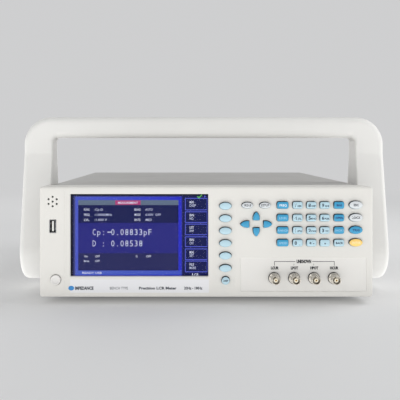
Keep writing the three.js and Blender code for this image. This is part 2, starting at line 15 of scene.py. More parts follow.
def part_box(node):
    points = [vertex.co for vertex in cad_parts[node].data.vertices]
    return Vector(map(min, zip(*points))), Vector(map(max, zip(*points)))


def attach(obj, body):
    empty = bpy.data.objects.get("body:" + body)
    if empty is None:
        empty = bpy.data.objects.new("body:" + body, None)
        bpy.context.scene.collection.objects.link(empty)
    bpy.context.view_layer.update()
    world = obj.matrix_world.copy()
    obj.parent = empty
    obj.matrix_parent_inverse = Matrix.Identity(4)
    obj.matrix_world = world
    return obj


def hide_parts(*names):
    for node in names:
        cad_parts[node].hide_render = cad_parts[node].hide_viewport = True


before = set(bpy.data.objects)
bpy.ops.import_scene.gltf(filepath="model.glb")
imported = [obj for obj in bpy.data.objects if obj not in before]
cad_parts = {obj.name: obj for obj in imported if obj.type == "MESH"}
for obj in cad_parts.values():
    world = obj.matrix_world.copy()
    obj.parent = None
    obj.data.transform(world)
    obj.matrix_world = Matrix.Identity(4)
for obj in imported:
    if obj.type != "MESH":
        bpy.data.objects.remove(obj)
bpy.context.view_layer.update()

MM = 0.001
bezel_low, bezel_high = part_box("front_bezel")
FRONT_Y, BASE_Z = bezel_low.y, bezel_low.z          # metres


def world_point(x, depth, height):
    return (x * MM, FRONT_Y + depth * MM, BASE_Z + height * MM)


def middle(node):
    """(x, depth, height) of a CAD node's middle."""
    low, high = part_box(node)
    point = (low + high) / 2
    return point.x / MM, (point.y - FRONT_Y) / MM, (point.z - BASE_Z) / MM


def about(centre, half):
    return centre - half, centre + half


# =============================================================== outlines
# All outlines run counter-clockwise.
def rounded_rect(x, y, width, height, radius, steps=7):
    """Rectangle with `steps` points on each corner."""
    points = []
    for quarter, (side, rise) in enumerate([(1, 1), (-1, 1), (-1, -1), (1, -1)]):
        for i in range(steps):
            angle = (quarter + i / (steps - 1)) * math.pi / 2
            points.append((x + side * (width / 2 - radius) + radius * math.cos(angle),
                           y + rise * (height / 2 - radius) + radius * math.sin(angle)))
    return points


def oval(x, y, width, height, steps):
    return [(x + width / 2 * math.cos(2 * math.pi * i / steps),
             y + height / 2 * math.sin(2 * math.pi * i / steps)) for i in range(steps)]


# Half-length share, half-width share; the first two points are the flat inner edge.
PETAL = [(-1, .80), (-1, -.80), (-.86, -.97), (-.45, -1), (.05, -.90), (.50, -.66), (.86, -.30),
         (1, 0), (.86, .30), (.50, .66), (.05, .90), (-.45, 1), (-.86, .97)]


def petal(x, y, length, width, turn):
    """Catmull-Rom curve through PETAL, turned by an angle."""
    base = [(across * (length / 2), up * (width / 2)) for across, up in PETAL]
    curve = []
    count = len(base)
    for i in range(count):
        before, start, end, after = (base[(i + k - 1) % count] for k in range(4))
        if i == 0:                                  # the flat inner edge stays straight
            curve += [start, ((start[0] + end[0]) / 2, (start[1] + end[1]) / 2)]
            continue
        for k in range(4):
            t = k / 4
            curve.append(tuple(
                .5 * (2 * p1 + (p2 - p0) * t + (2 * p0 - 5 * p1 + 4 * p2 - p3) * t * t
                      + (3 * p1 - p0 - 3 * p2 + p3) * t ** 3)
                for p0, p1, p2, p3 in zip(before, start, end, after)))
    cos, sin = math.cos(turn), math.sin(turn)
    return [(x + px * cos - py * sin, y + px * sin + py * cos) for px, py in curve]


def offset(points, growth):
    """Moves an outline outwards by growth (inwards if negative)."""
    if not growth:
        return list(points)
    moved = []
    for i, (x, y) in enumerate(points):
        last_x, last_y = points[i - 1]
        next_x, next_y = points[(i + 1) % len(points)]
        normal = Vector((y - last_y, last_x - x)).normalized()
        mitre = normal + Vector((next_y - y, x - next_x)).normalized()
        if mitre.length < 1e-6:
            mitre = normal
        mitre.normalize()
        cosine = max(0.35, mitre.dot(normal))
        moved.append((x + mitre.x * growth / cosine, y + mitre.y * growth / cosine))
    return moved


def scaled(points, x, y, scale):
    return [(x + (px - x) * scale, y + (py - y) * scale) for px, py in points]


def mirrored(profile, side):
    """A lathe profile whose positions are multiplied by side, 1 or -1."""
    return [(radius, side * along) for radius, along in profile]


def on_axis(at, axis, along, side, rise):
    """The point `along` an axis through `at`, and off that axis by side and rise."""
    x, depth, height = at
    if axis == "x":
        return x + along, depth + side, height + rise
    if axis == "y":
        return x + side, depth + along, height + rise
    return x + side, depth + rise, height + along


# =================================================================== bodies
class Body:
    """A mesh being made: points (x, depth, height), faces, and each face's material name.

    A material of None is the first one of the piece.
    """

    def __init__(self):
        self.points, self.faces, self.materials = [], [], []

    def place(self, points):
        start = len(self.points)
        self.points += [tuple(p) for p in points]
        return list(range(start, len(self.points)))

    def ring(self, outline, depth):
        return self.place([(x, depth, height) for x, height in outline])

    def face(self, corners, material=None):
        self.faces.append(tuple(corners))
        self.materials.append(material)

    def strip(self, first, second, material=None, closed=True):
        count = len(first)
        for i in range(count if closed else count - 1):
            j = (i + 1) % count
            self.face((first[i], first[j], second[j], second[i]), material)

    def stack(self, rings, material=None):
        for first, second in zip(rings, rings[1:]):
            self.strip(first, second, material)

    def loft(self, outline, stations, material=None):
        """Joined rings of one outline; a station is (growth, depth). Returns the rings."""
        rings = [self.ring(offset(outline, growth), depth) for growth, depth in stations]
        self.stack(rings, material)
        return rings

    def fill(self, outer, holes=(), material=None):
        rings = [list(outer), *[list(hole) for hole in holes]]
        indices = [i for ring in rings for i in ring]
        for triangle in tessellate_polygon([[Vector(self.points[i]) for i in r] for r in rings]):
            self.face((indices[i] for i in triangle), material)

    def fan(self, ring, tip, material=None):
        for i, corner in enumerate(ring):
            self.face((corner, ring[(i + 1) % len(ring)], tip), material)

    def prism(self, outline, front, back, ease=0.0, material=None):
        """Closed block with its front and rear edges eased."""
        stations = [(0, front), (0, back)]
        if ease:
            stations = [(-ease, front), (-ease * .3, front + ease * .3), (0, front + ease),
                        (0, back - ease), (-ease, back)]
        rings = self.loft(outline, stations, material)
        self.fill(rings[0], material=material)
        self.fill(rings[-1], material=material)

    def bar(self, xs, heights, front, back, material=None):
        """Sharp-edged block."""
        (left, right), (low, high) = xs, heights
        outline = [(right, high), (left, high), (left, low), (right, low)]
        self.prism(outline, front, back, 0, material)

    def box(self, xs, depths, heights, ease=0.25, material=None):
        """Closed block with eased edges on all sides."""
        (left, right), (front, back), (low, high) = xs, depths, heights
        ease = min(ease, (right - left) / 2.5, (back - front) / 2.5, (high - low) / 2.5)
        outline = rounded_rect((left + right) / 2, (low + high) / 2, right - left, high - low,
                               max(ease, 1e-3), 3)
        self.prism(outline, front, back, ease, material)

    def slab(self, outline, low, high, ease, material):
        """Closed block lying flat: the outline is (x, depth)."""
        block = Body()
        block.prism(outline, -high, -low, ease, material)
        self.add(block.moved(lambda x, depth, height: (x, height, -depth)))

    def plate(self, outer, holes, front, back, ease):
        """Closed plate with holes; every edge is eased."""
        def wall(outline, growth):
            return self.loft(outline, [(growth, front), (0, front + ease), (0, back - ease),
                                       (growth, back)])

        rim = wall(outer, -ease)
        walls = [wall(hole, ease) for hole in holes]
        for end in (0, -1):
            self.fill(rim[end], [rings[end] for rings in walls])

    def lathe(self, profile, at, axis="y", steps=48, material=None, shape=None):
        """Turned body. A profile entry is (radius, position along the axis[, material of the
        next segment]); shape(angle, position) scales the radius."""
        rings = []
        for station in profile:
            radius, along = station[:2]
            points = []
            for i in range(steps if radius else 1):
                angle = 2 * math.pi * i / steps
                reach = radius * (shape(angle, along) if shape else 1)
                points.append(on_axis(at, axis, along, reach * math.cos(angle),
                                      reach * math.sin(angle)))
            rings.append(self.place(points))
        for first, second, station in zip(rings, rings[1:], profile):
            segment = station[2] if len(station) > 2 else material
            if len(first) == 1:
                self.fan(second, first[0], segment)
            elif len(second) == 1:
                self.fan(first, second[0], segment)
            else:
                self.strip(first, second, segment)

    def tube(self, path, radius, steps=10, closed=False):
        path = [Vector(p) for p in path]
        rings, up = [], None
        for i, point in enumerate(path):
            if closed:
                along = path[(i + 1) % len(path)] - path[i - 1]
            else:
                along = path[min(i + 1, len(path) - 1)] - path[max(i - 1, 0)]
            along.normalize()
            if up is None:
                up = Vector((0, 1, 0)) if abs(along.y) < .8 else Vector((1, 0, 0))
            side = along.cross(up).normalized()
            up = side.cross(along).normalized()
            rings.append(self.place([point + side * (radius * math.cos(2 * math.pi * k / steps))
                                     + up * (radius * math.sin(2 * math.pi * k / steps))
                                     for k in range(steps)]))
        self.stack(rings)
        if closed:
            self.strip(rings[-1], rings[0])
        else:
            self.fill(rings[0])
            self.fill(rings[-1])

    def add(self, other):
        start = len(self.points)
        self.points += other.points
        self.faces += [tuple(i + start for i in face) for face in other.faces]
        self.materials += other.materials

    def moved(self, move):
        self.points = [tuple(move(*p)) for p in self.points]
        return self


def screw(body, at, axis, side, radius=2.9, rise=1.7, material=None):
    """Pan-head screw with a cross recess; its head points to `side` (1 or -1) of the axis."""
    head = Body()
    # Shares of the radius and of the rise.
    stations = [(.92, 0), (1, .18), (1, .35), (.93, .68), (.8, .88), (.62, 1)]
    rings = [head.ring(oval(0, 0, 2 * (radius * wide), 2 * (radius * wide), 40), rise * up)
             for wide, up in stations]
    head.stack(rings, material)
    arm, half = radius * .46, radius * .13
    cross = [(half, arm), (-half, arm), (-half, half), (-arm, half), (-arm, -half), (-half, -half),
             (-half, -arm), (half, -arm), (half, -half), (arm, -half), (arm, half), (half, half)]
    mouth = head.ring(cross, rise)
    floor_ring = head.ring(scaled(cross, 0, 0, .55), rise * .35)
    head.strip(mouth, floor_ring, material)
    head.fill(floor_ring, material=material)
    head.fill(rings[-1], [mouth], material)
    head.fill(rings[0], material=material)
    body.add(head.moved(lambda x, along, y: on_axis(at, axis, side * along, x, y)))


def link(ob):
    bpy.context.scene.collection.objects.link(ob)
    return ob


def shade(mesh, angle):
    for polygon in mesh.polygons:
        polygon.use_smooth = True
    mesh.set_sharp_from_angle(angle=math.radians(angle))


def weight_normals(ob):
    ob.modifiers.new("normals", "WEIGHTED_NORMAL").keep_sharp = True


MATERIALS = {}


def make(name, body, materials, ride="instrument", replaces=(), angle=32,
         weighted=True):
    mesh = bpy.data.meshes.new(name)
    mesh.from_pydata([world_point(*p) for p in body.points], [], body.faces)
    for polygon, material in zip(mesh.polygons, body.materials):
        polygon.material_index = materials.index(material) if material else 0
    bm = bmesh.new()
    bm.from_mesh(mesh)
    bmesh.ops.remove_doubles(bm, verts=bm.verts, dist=2e-7)
    bmesh.ops.dissolve_degenerate(bm, edges=bm.edges, dist=2e-7)
    bmesh.ops.recalc_face_normals(bm, faces=bm.faces)
    bm.to_mesh(mesh)
    bm.free()
    shade(mesh, angle)
    for material in materials:
        mesh.materials.append(MATERIALS[material])
    ob = link(bpy.data.objects.new(name, mesh))
    if weighted:
        weight_normals(ob)
    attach(ob, ride)
    if replaces:
        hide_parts(*replaces)
    return ob


def cut(ob, tool_body, material):
    """Cuts a body out of an object, and keeps the result as its mesh."""
    tool = make("tool_cut", tool_body, [material], weighted=False)
    boolean = ob.modifiers.new("cut", "BOOLEAN")
    boolean.operation, boolean.object, boolean.solver = "DIFFERENCE", tool, "EXACT"
    bpy.context.view_layer.update()
    graph = bpy.context.evaluated_depsgraph_get()
    mesh = bpy.data.meshes.new_from_object(ob.evaluated_get(graph))
    ob.modifiers.remove(boolean)
    ob.data = mesh
    bpy.data.objects.remove(tool)
    shade(mesh, 30)
    weight_normals(ob)


def carry(node_name, material):
    """A CAD node that stays, with a better material."""
    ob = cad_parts[node_name]
    if not ob.material_slots:
        ob.data.materials.append(MATERIALS[material])
    for material_slot in ob.material_slots:
        material_slot.material = MATERIALS[material]
    for polygon in ob.data.polygons:
        polygon.use_smooth = False


# ---------------------------------------------------------------- lettering
@cache
def glyphs(text, align, bold):
    """(points, faces) of flat letters of font size 1, one deep."""
    curve = bpy.data.curves.new("t", "FONT")
    curve.body, curve.size, curve.extrude, curve.resolution_u = text, 1.0, 0.5, 2
    curve.align_x, curve.offset = align, bold
    ob = link(bpy.data.objects.new("t", curve))
    bpy.context.view_layer.update()
    graph = bpy.context.evaluated_depsgraph_get()
    mesh = bpy.data.meshes.new_from_object(ob.evaluated_get(graph))
    bm = bmesh.new()
    bm.from_mesh(mesh)
    bmesh.ops.remove_doubles(bm, verts=bm.verts, dist=1e-5)
    bm.to_mesh(mesh)
    bm.free()
    shape = ([tuple(v.co) for v in mesh.vertices], [tuple(p.vertices) for p in mesh.polygons])
    bpy.data.objects.remove(ob)
    bpy.data.curves.remove(curve)
    bpy.data.meshes.remove(mesh)
    return shape


CAP_SHARE = max(y for _, y, _ in glyphs("H", "CENTER", 0.0)[0])     # capital height of size 1


def lettering(text, cap, align, bold):
    """(points, faces) of letters: x, y from the anchor on the base line, z 0 back to 1 front."""
    points, faces = glyphs(text, align, bold)
    return [(x * cap / CAP_SHARE, y * cap / CAP_SHARE, z + .5) for x, y, z in points], faces


def text_span(text, cap, align, bold):
    xs = [point[0] for point in lettering(text, cap, align, bold)[0]]
    return min(xs), max(xs)


def print_on(body, text, x, height, cap, front, thick, material=None, align="CENTER", bold=0.0,
             follow=None, squeeze=1.0):
    """Adds letters whose face is at depth `front`, counted from follow(x, height) if given."""
    points, faces = lettering(text, cap, align, bold)
    placed = []
    for px, py, pz in points:
        px *= squeeze
        base = follow(x + px, height + py) if follow else 0.0
        placed.append((x + px, base + front + (1 - pz) * thick, height + py))
    start = len(body.points)
    body.place(placed)
    for face in faces:
        body.face((i + start for i in face), material)


# ================================================================ materials
def linear(*rgb):
    """Linear RGBA of an sRGB colour in 0 to 255."""
    return tuple(c / 255 / 12.92 if c / 255 <= .04045 else ((c / 255 + .055) / 1.055) ** 2.4
                 for c in rgb) + (1.0,)


def connect(tree, node, inputs):
    """Sets a node's inputs: each is a value, or an output socket to link."""
    for key, value in inputs.items():
        if isinstance(value, bpy.types.NodeSocket):
            tree.links.new(value, node.inputs[key])
        else:
            node.inputs[key].default_value = value


def add_node(tree, kind, inputs=None, **settings):
    node = tree.nodes.new("ShaderNode" + kind)
    for key, value in settings.items():
        setattr(node, key, value)
    connect(tree, node, inputs or {})
    return node


def mixed(tree, factor, first, second):
    inputs = {0: factor, 6: first, 7: second}
    return add_node(tree, "Mix", inputs, data_type="RGBA").outputs[2]


def ranged(tree, value, from_low, from_high, to_low, to_high, **settings):
    inputs = dict(enumerate((value, from_low, from_high, to_low, to_high)))
    return add_node(tree, "MapRange", inputs, **settings).outputs[0]


def maths(tree, operation, *values):
    return add_node(tree, "Math", dict(enumerate(values)), operation=operation).outputs[0]


def coordinates(tree, output="Object"):
    """An output of the tree's one coordinate node."""
    node = tree.nodes.get("co") or tree.nodes.new("ShaderNodeTexCoord")
    node.name = "co"
    return node.outputs[output]


def noise(tree, scale, detail, rough, stretch=None):
    source = coordinates(tree)
    if stretch:
        source = add_node(tree, "Mapping", {"Vector": source, "Scale": stretch}).outputs["Vector"]
    inputs = {"Scale": scale, "Detail": detail, "Roughness": rough, "Vector": source}
    return add_node(tree, "TexNoise", inputs).outputs["Fac"]


def camera_split(tree, others, camera_view):
    """Shader seen by the camera as one thing and by all other rays as another."""
    ray = add_node(tree, "LightPath").outputs["Is Camera Ray"]
    return add_node(tree, "MixShader", {0: ray, 1: others, 2: camera_view}).outputs[0]


def new_material(name):
    material = bpy.data.materials.new(name)
    material.use_nodes = True
    MATERIALS[name] = material
    return material.node_tree, material.node_tree.nodes["Principled BSDF"]


def surface(name, rgb, rough, vary, metal=0.0, grain=None, peel=None, brushed=None, edge=None,
            spec=.5, sss=0.0, second=None):
    """Blotched colour, varying roughness, bump from fine grain and orange peel, edges tinted by
    wear and by painted light.

    vary: colour share, noise scale, roughness swing. grain, peel: noise scale, bump height.
    brushed: stretch of the noise, bump height. edge: colour, radius in metres, amount, roughness of
    the edge tint.
    second: colour of fine specks, noise scale, noise values where they start and are full.
    """
    tree, bsdf = new_material(name)
    share, scale, swing = vary
    base = linear(*rgb)
    dark = tuple(c * (1 - share) for c in base[:3]) + (1,)
    light = tuple(min(1, c * (1 + share)) for c in base[:3]) + (1,)
    colour = mixed(tree, ranged(tree, noise(tree, scale, 4, .6), .3, .7, 0, 1), dark, light)
    if second:
        speck, speck_scale, start, full = second
        mask = ranged(tree, noise(tree, speck_scale, 2, .5), start, full, 0, 1)
        colour = mixed(tree, mask, colour, linear(*speck))
    roughness = ranged(tree, noise(tree, scale * 3.1, 5, .65), .3, .7, rough - swing,
                       rough + swing)
    bumps = []
    if grain:
        bumps.append(maths(tree, "MULTIPLY", noise(tree, grain[0], 2, .6), grain[1]))
    if peel:
        bumps.append(maths(tree, "MULTIPLY", noise(tree, peel[0], 1, .4), peel[1]))
    if brushed:
        lines = noise(tree, 1.0, 3, .7, stretch=brushed[0])
        bumps.append(maths(tree, "MULTIPLY", lines, brushed[1]))
        roughness = maths(tree, "ADD", roughness, ranged(tree, lines, .3, .7, -.06, .06))
        colour = mixed(tree, ranged(tree, lines, .35, .7, 0, .25), colour,
                       tuple(c * .8 for c in base[:3]) + (1,))
    # Edge tint from a bevel mask: wear on the case paint, black steel and black plastic; a painted
    # highlight on the bezel and painted shade on the handle.
    if edge:
        edge_rgb, radius, amount, edge_rough = edge
        bevel = add_node(tree, "Bevel", {"Radius": radius}, samples=4)
        geometry = add_node(tree, "NewGeometry")
        dot = add_node(tree, "VectorMath", {0: bevel.outputs["Normal"],
                                            1: geometry.outputs["Normal"]},
                       operation="DOT_PRODUCT")
        mask = ranged(tree, dot.outputs["Value"], .995, .90, 0, 1)
        mask = maths(tree, "MULTIPLY", mask,
                     ranged(tree, noise(tree, 160, 5, .7), .40, .62, 0, amount))
        colour = mixed(tree, mask, colour, linear(*edge_rgb))
        roughness = maths(tree, "ADD", roughness,
                          maths(tree, "MULTIPLY", mask, edge_rough - rough))
    connect(tree, bsdf, {"Base Color": colour, "Roughness": roughness, "Metallic": metal,
                         "Specular IOR Level": spec})
    if sss:
        connect(tree, bsdf, {"Subsurface Weight": sss, "Subsurface Radius": (.002, .002, .002)})
    if bumps:
        height = bumps[0]
        for bump in bumps[1:]:
            height = maths(tree, "ADD", height, bump)
        bump = add_node(tree, "Bump", {"Strength": 1.0, "Distance": .001, "Height": height})
        connect(tree, bsdf, {"Normal": bump.outputs["Normal"]})


def glow(name, rgb, far_rgb, start=0.0, end=1.0):
    """Lit LCD colour: a gradient along x (metres), with the panel's fine rows."""
    tree, bsdf = new_material(name)
    position = add_node(tree, "TexCoord").outputs["Object"]
    axes = add_node(tree, "SeparateXYZ", {0: position})
    colour = mixed(tree, ranged(tree, axes.outputs[0], start, end, 0, 1), linear(*rgb),
                   linear(*far_rgb))
    wave = add_node(tree, "TexWave", {"Scale": 700, "Vector": position}, bands_direction="Z")
    rows = ranged(tree, wave.outputs["Fac"], 0, 1, .94, 1.06)
    lit = add_node(tree, "VectorMath", {0: colour, 3: rows}, operation="SCALE")
    connect(tree, bsdf, {"Emission Color": lit.outputs[0], "Emission Strength": 1.0,
                         "Base Color": (.004, .004, .006, 1), "Specular IOR Level": .1,
                         "Roughness": .35})


def window_glass():
    tree, bsdf = new_material("window_glass")
    height = maths(tree, "MULTIPLY", noise(tree, 60, 2, .5), .02)
    bump = add_node(tree, "Bump", {"Strength": .05, "Distance": .001, "Height": height})
    connect(tree, bsdf, {"Base Color": (.93, .94, .97, 1), "Transmission Weight": 1.0,
                         "Roughness": .02, "IOR": 1.06, "Normal": bump.outputs["Normal"]})
    smears = ranged(tree, noise(tree, 30, 5, .7), .35, .75, .008, .03)
    connect(tree, bsdf, {"Roughness": smears})


def paint_table_light_on_key_sides():
    """Painted light of the table on the lower part of the keys' side walls, whose dark colour is
    painted shade of the gap.
    """
    tree = MATERIALS["key_side_painted_shade_and_light"].node_tree
    bsdf = tree.nodes["Principled BSDF"]
    axes = add_node(tree, "SeparateXYZ", {0: coordinates(tree, "Generated")})
    dark = bsdf.inputs["Base Color"].links[0].from_socket
    # painted light: the side wall's colour turns lighter towards the bottom
    mask = ranged(tree, axes.outputs["Z"], .30, .62, 0, 1)
    connect(tree, bsdf, {"Base Color": mixed(tree, mask, linear(150, 176, 188), dark)})


# Front mouldings and the handle
# lighter edge colour: painted highlight along the bezel's rounded edges
surface("bezel_plastic", (224, 222, 217), rough=.48, vary=(.018, 14, .06), grain=(2600, .045),
        peel=(420, .02), edge=((240, 238, 234), .0008, .55, .34))
# the bezel's plastic made a little lighter: painted light on the sunk field of the test jacks
surface("jack_field_painted_light_plastic", (228, 226, 222), rough=.5, vary=(.016, 16, .06), grain=(2600, .04))
surface("legend_strip", (228, 228, 231), rough=.42, vary=(.014, 18, .05), grain=(3200, .02))
# darker edge colour: painted shade along the handle's edges, creases and hub recesses
surface("handle_plastic", (232, 231, 228), rough=.5, vary=(.02, 12, .07), grain=(2100, .06),
        peel=(300, .03), edge=((205, 203, 199), .0015, .35, .42))
surface("hub_plastic", (196, 195, 191), rough=.48, vary=(.03, 30, .07), grain=(2100, .06))
# Keys
surface("key_blue", (56, 156, 200), rough=.42, vary=(.05, 60, .06), grain=(2200, .05), sss=.05)
surface("key_pale", (184, 214, 226), rough=.44, vary=(.03, 60, .06), grain=(2200, .05), sss=.05)
surface("key_silver", (216, 220, 223), rough=.40, vary=(.025, 60, .06), grain=(2200, .045))
surface("key_amber", (252, 212, 122), rough=.42, vary=(.04, 60, .06), grain=(2200, .05), sss=.05)
# dark side walls of the keys: painted shade of the gap round each key
surface("key_side_painted_shade_and_light", (44, 56, 68), rough=.6, vary=(.08, 80, .05), grain=(2200, .04), spec=.3)
paint_table_light_on_key_sides()
surface("button_plastic", (226, 224, 221), rough=.34, vary=(.02, 60, .05), grain=(2600, .03))
# Inks: name, colour, roughness, colour share of the blotches
for ink_name, ink_rgb, ink_rough, ink_share in (
        ("white", (244, 247, 250), .55, .02), ("dark", (38, 54, 74), .55, .1),
        ("grey", (52, 58, 70), .55, .08), ("field", (46, 46, 48), .55, .08),
        ("pale", (170, 212, 236), .55, .02), ("cream", (255, 240, 205), .55, .02),
        ("navy", (20, 58, 112), .55, .08), ("blue", (46, 134, 200), .45, .12)):
    surface(f"ink_{ink_name}", ink_rgb, rough=ink_rough, vary=(ink_share, 300, .05),
            grain=(3000, .03))
# Metals
surface("nickel", (214, 209, 200), rough=.24, metal=1.0, vary=(.05, 180, .09), peel=(900, .02),
        brushed=((60, 2600, 60), .03))
surface("gold_contact", (196, 164, 108), rough=.30, metal=1.0, vary=(.05, 300, .07),
        peel=(900, .01))
surface("zinc_sheet", (176, 181, 186), rough=.36, metal=.9, vary=(.10, 45, .10),
        second=((205, 208, 214), 120, .50, .62), brushed=((3, 900, 900), .03))
surface("black_steel", (44, 45, 48), rough=.4, metal=.6, vary=(.12, 60, .08), grain=(1600, .05),
        edge=((130, 130, 132), .0004, .6, .35))
surface("screw_steel", (190, 190, 192), rough=.28, metal=1.0, vary=(.08, 260, .08),
        peel=(1200, .02))
surface("supply_metal", (158, 163, 168), rough=.36, metal=.85, vary=(.1, 60, .1),
        brushed=((900, 6, 900), .04))
surface("lcd_frame", (92, 96, 102), rough=.42, metal=.7, vary=(.08, 50, .08),
        brushed=((4, 900, 900), .02))
# Paint, plastics, rubber and board
surface("case_paint", (176, 174, 171), rough=.46, vary=(.035, 9, .07), grain=(1900, .07),
        peel=(520, .06), edge=((205, 204, 201), .0006, .6, .35))
surface("jack_insulator", (236, 228, 208), rough=.5, vary=(.04, 200, .06), grain=(2400, .03),
        sss=.1)
surface("black_plastic", (30, 30, 33), rough=.46, vary=(.2, 40, .08), grain=(2000, .07),
        edge=((70, 70, 74), .0004, .5, .38))
surface("foot_rubber", (38, 38, 40), rough=.82, vary=(.18, 70, .08), grain=(1500, .12),
        second=((66, 64, 62), 420, .60, .72), spec=.3)
surface("circuit_board", (24, 92, 56), rough=.38, vary=(.15, 90, .08), peel=(800, .03),
        second=((52, 132, 84), 700, .56, .60), spec=.6)
surface("chip_epoxy", (26, 27, 29), rough=.6, vary=(.2, 200, .05), grain=(2600, .06))
surface("socket_tongue", (232, 232, 228), rough=.42, vary=(.03, 200, .06), grain=(2600, .03))
window_glass()

# ==================================================================== keys
# Name after "key_": (shape, colour, legends). A legend is (text, capital height, x and height of
# its anchor from the key's middle). The first SOFT_COUNT keys stand in the soft-key column.
SOFT_COUNT = 7
KEYS = {f"soft_{i}": ("oval", "pale", []) for i in range(1, SOFT_COUNT)}
KEYS["display"] = ("oval", "pale", [("DISP", 1.9, 0, -.9)])
KEYS["measure"] = ("oval", "silver", [("MEAS", 2.3, 0, -1.1)])
KEYS["setup"] = ("oval", "silver", [("SETUP", 2.2, 0, -1.1)])
for way in ("up", "left", "right", "down"):
    KEYS[f"arrow_{way}"] = (way, "blue", [])
for key, text in (("frequency", "FREQ"), ("level", "LEVEL"), ("range", "RANGE"),
                  ("speed", "SPEED")):
    KEYS[key] = ("rect", "blue", [(text, 2.3, .2, -1.2)])
for digit, text in (("7", "ABC"), ("8", "DEF"), ("9", "GHI"), ("4", "JKL"), ("5", "MNO"),
                    ("6", "PQR"), ("1", "STU"), ("2", "VWX"), ("3", "YZ"), ("0", "_")):
    KEYS[digit] = ("rect", "pale", [(digit, 3.5, -2.3, -1.8), (text, 1.9, 2.0, -1.8)])
KEYS["sign"] = ("rect", "pale", [("+/-", 3.2, 0, -1.6)])
KEYS["point"] = ("rect", "pale", [(".", 5.5, 0, -1.0)])
for key in ("bias", "open", "short"):
    KEYS[key] = ("rect", "blue", [(key.upper(), 2.2, 0, -1.1)])
KEYS["back"] = ("rect", "pale", [("BACK", 2.1, 0, -1.1)])
KEYS["escape"] = ("oval", "silver", [("ESC", 2.4, 0, -1.2)])
KEYS["lock"] = ("oval", "silver", [("LOCK", 2.4, 0, -1.2)])
KEYS["trigger"] = ("oval", "blue", [("TRIG", 2.4, 0, -1.2)])
KEYS["enter"] = ("oval", "amber", [("ENTER", 2.3, 0, -1.1)])

PETAL_TURN = {"right": 0, "up": math.pi / 2, "left": math.pi, "down": -math.pi / 2}
INK = {"blue": "ink_pale", "pale": "ink_dark", "silver": "ink_grey", "amber": "ink_cream"}
OTHER_INK = {"bias": "ink_navy", "open": "ink_navy", "trigger": "ink_navy",
             "frequency": "ink_white"}
INK_BOLD = {"ink_pale": 0.0, "ink_white": .015, "ink_cream": 0.0}      # the others: .04
FLANGE = .9                     # how far the flange behind the bezel reaches past the cap
TOP_INSET = .75                 # from the cap's side to its domed top
# The domed top: share of its half size, depth behind the highest point.
CROWN = [(0, 0), (.28, .015), (.50, .06), (.70, .14), (.86, .26), (1.0, .43)]


def key_outline(shape, x, height, wide, tall):
    if shape == "rect":
        return rounded_rect(x, height, wide, tall, 2.0, 8)
    if shape == "oval":
        return oval(x, height, wide, tall, 56)
    return petal(x, height, wide, tall, PETAL_TURN[shape])


def key_cap(key, shape, colour, legends):
    """Makes one key and returns the outline of its hole in the bezel."""
    name = f"key_{key}"
    x, _, height = middle(name)
    low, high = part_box(name)
    wide = (high.x - low.x) / MM - 2 * FLANGE
    tall = (high.z - low.z) / MM - 2 * FLANGE
    rise = (FRONT_Y - low.y) / MM                   # in front of the bezel
    if shape in ("up", "down"):
        wide, tall = tall, wide
    outline = key_outline(shape, x, height, wide, tall)
    stations = [(.75, 4.4), (FLANGE, 4.25), (FLANGE, 3.45), (.75, 3.3), (.02, 3.3), (0, 3.1),
                (0, 1.3 - rise), (-.06, 1.02 - rise), (-.20, .78 - rise), (-.42, .58 - rise),
                (-TOP_INSET, .43 - rise)]
    body = Body()
    rings = [body.ring(offset(outline, growth), depth) for growth, depth in stations]
    body.fill(rings[0])
    body.stack(rings[:6])
    # side wall of the cap: dark painted shade of the gap, painted lighter towards the bottom
    body.stack(rings[5:9], "key_side_painted_shade_and_light")
    body.stack(rings[8:])
    top = offset(outline, -TOP_INSET)
    dome = [body.ring(scaled(top, x, height, share), drop - rise)
            for share, drop in CROWN[-2:0:-1]]
    body.stack([rings[-1]] + dome)
    body.fan(dome[-1], body.place([(x, -rise, height)])[0])
    half_wide, half_tall = wide / 2 - TOP_INSET, tall / 2 - TOP_INSET

    def crown_depth(px, ph):
        side, up = abs(px - x) / half_wide, abs(ph - height) / half_tall
        share = max(side, up) if shape == "rect" else math.hypot(side, up)
        for (share0, drop0), (share1, drop1) in zip(CROWN, CROWN[1:]):
            if share <= share1:
                depth0, depth1 = drop0 - rise, drop1 - rise
                return depth0 + (depth1 - depth0) * (share - share0) / (share1 - share0)
        return .5 - rise

    ink = OTHER_INK.get(key, INK[colour])
    for text, cap, side, up in legends:
        print_on(body, text, x + side, height + up, cap, -.03, .22, ink,
                 bold=INK_BOLD.get(ink, .04), follow=crown_depth)
    make(f"cap_{name}", body, [f"key_{colour}", ink, "key_side_painted_shade_and_light"],
         f"{name}_cap", (name,), angle=40)
    return offset(outline, .4)


key_holes = [key_cap(key, *spec) for key, spec in KEYS.items()]

# Power button, with a dished front
POWER_X, _, POWER_H = middle("power_button")
body = Body()
body.lathe([(0, 4.4), (6.3, 4.4), (6.55, 4.2), (6.55, 3.5), (6.35, 3.3), (5.58, 3.3), (5.56, 3.0),
            (5.56, -1.55), (5.46, -1.85), (5.22, -2.08), (4.88, -2.2), (4.54, -2.16),
            (4.2, -1.95), (3.85, -1.62), (3.1, -1.36), (2.1, -1.2), (1.0, -1.13), (0, -1.1)],
           (POWER_X, 0, POWER_H), steps=64)
make("power_button_cap_piece", body, ["button_plastic"], "power_button_cap",
     ("power_button",), angle=40)

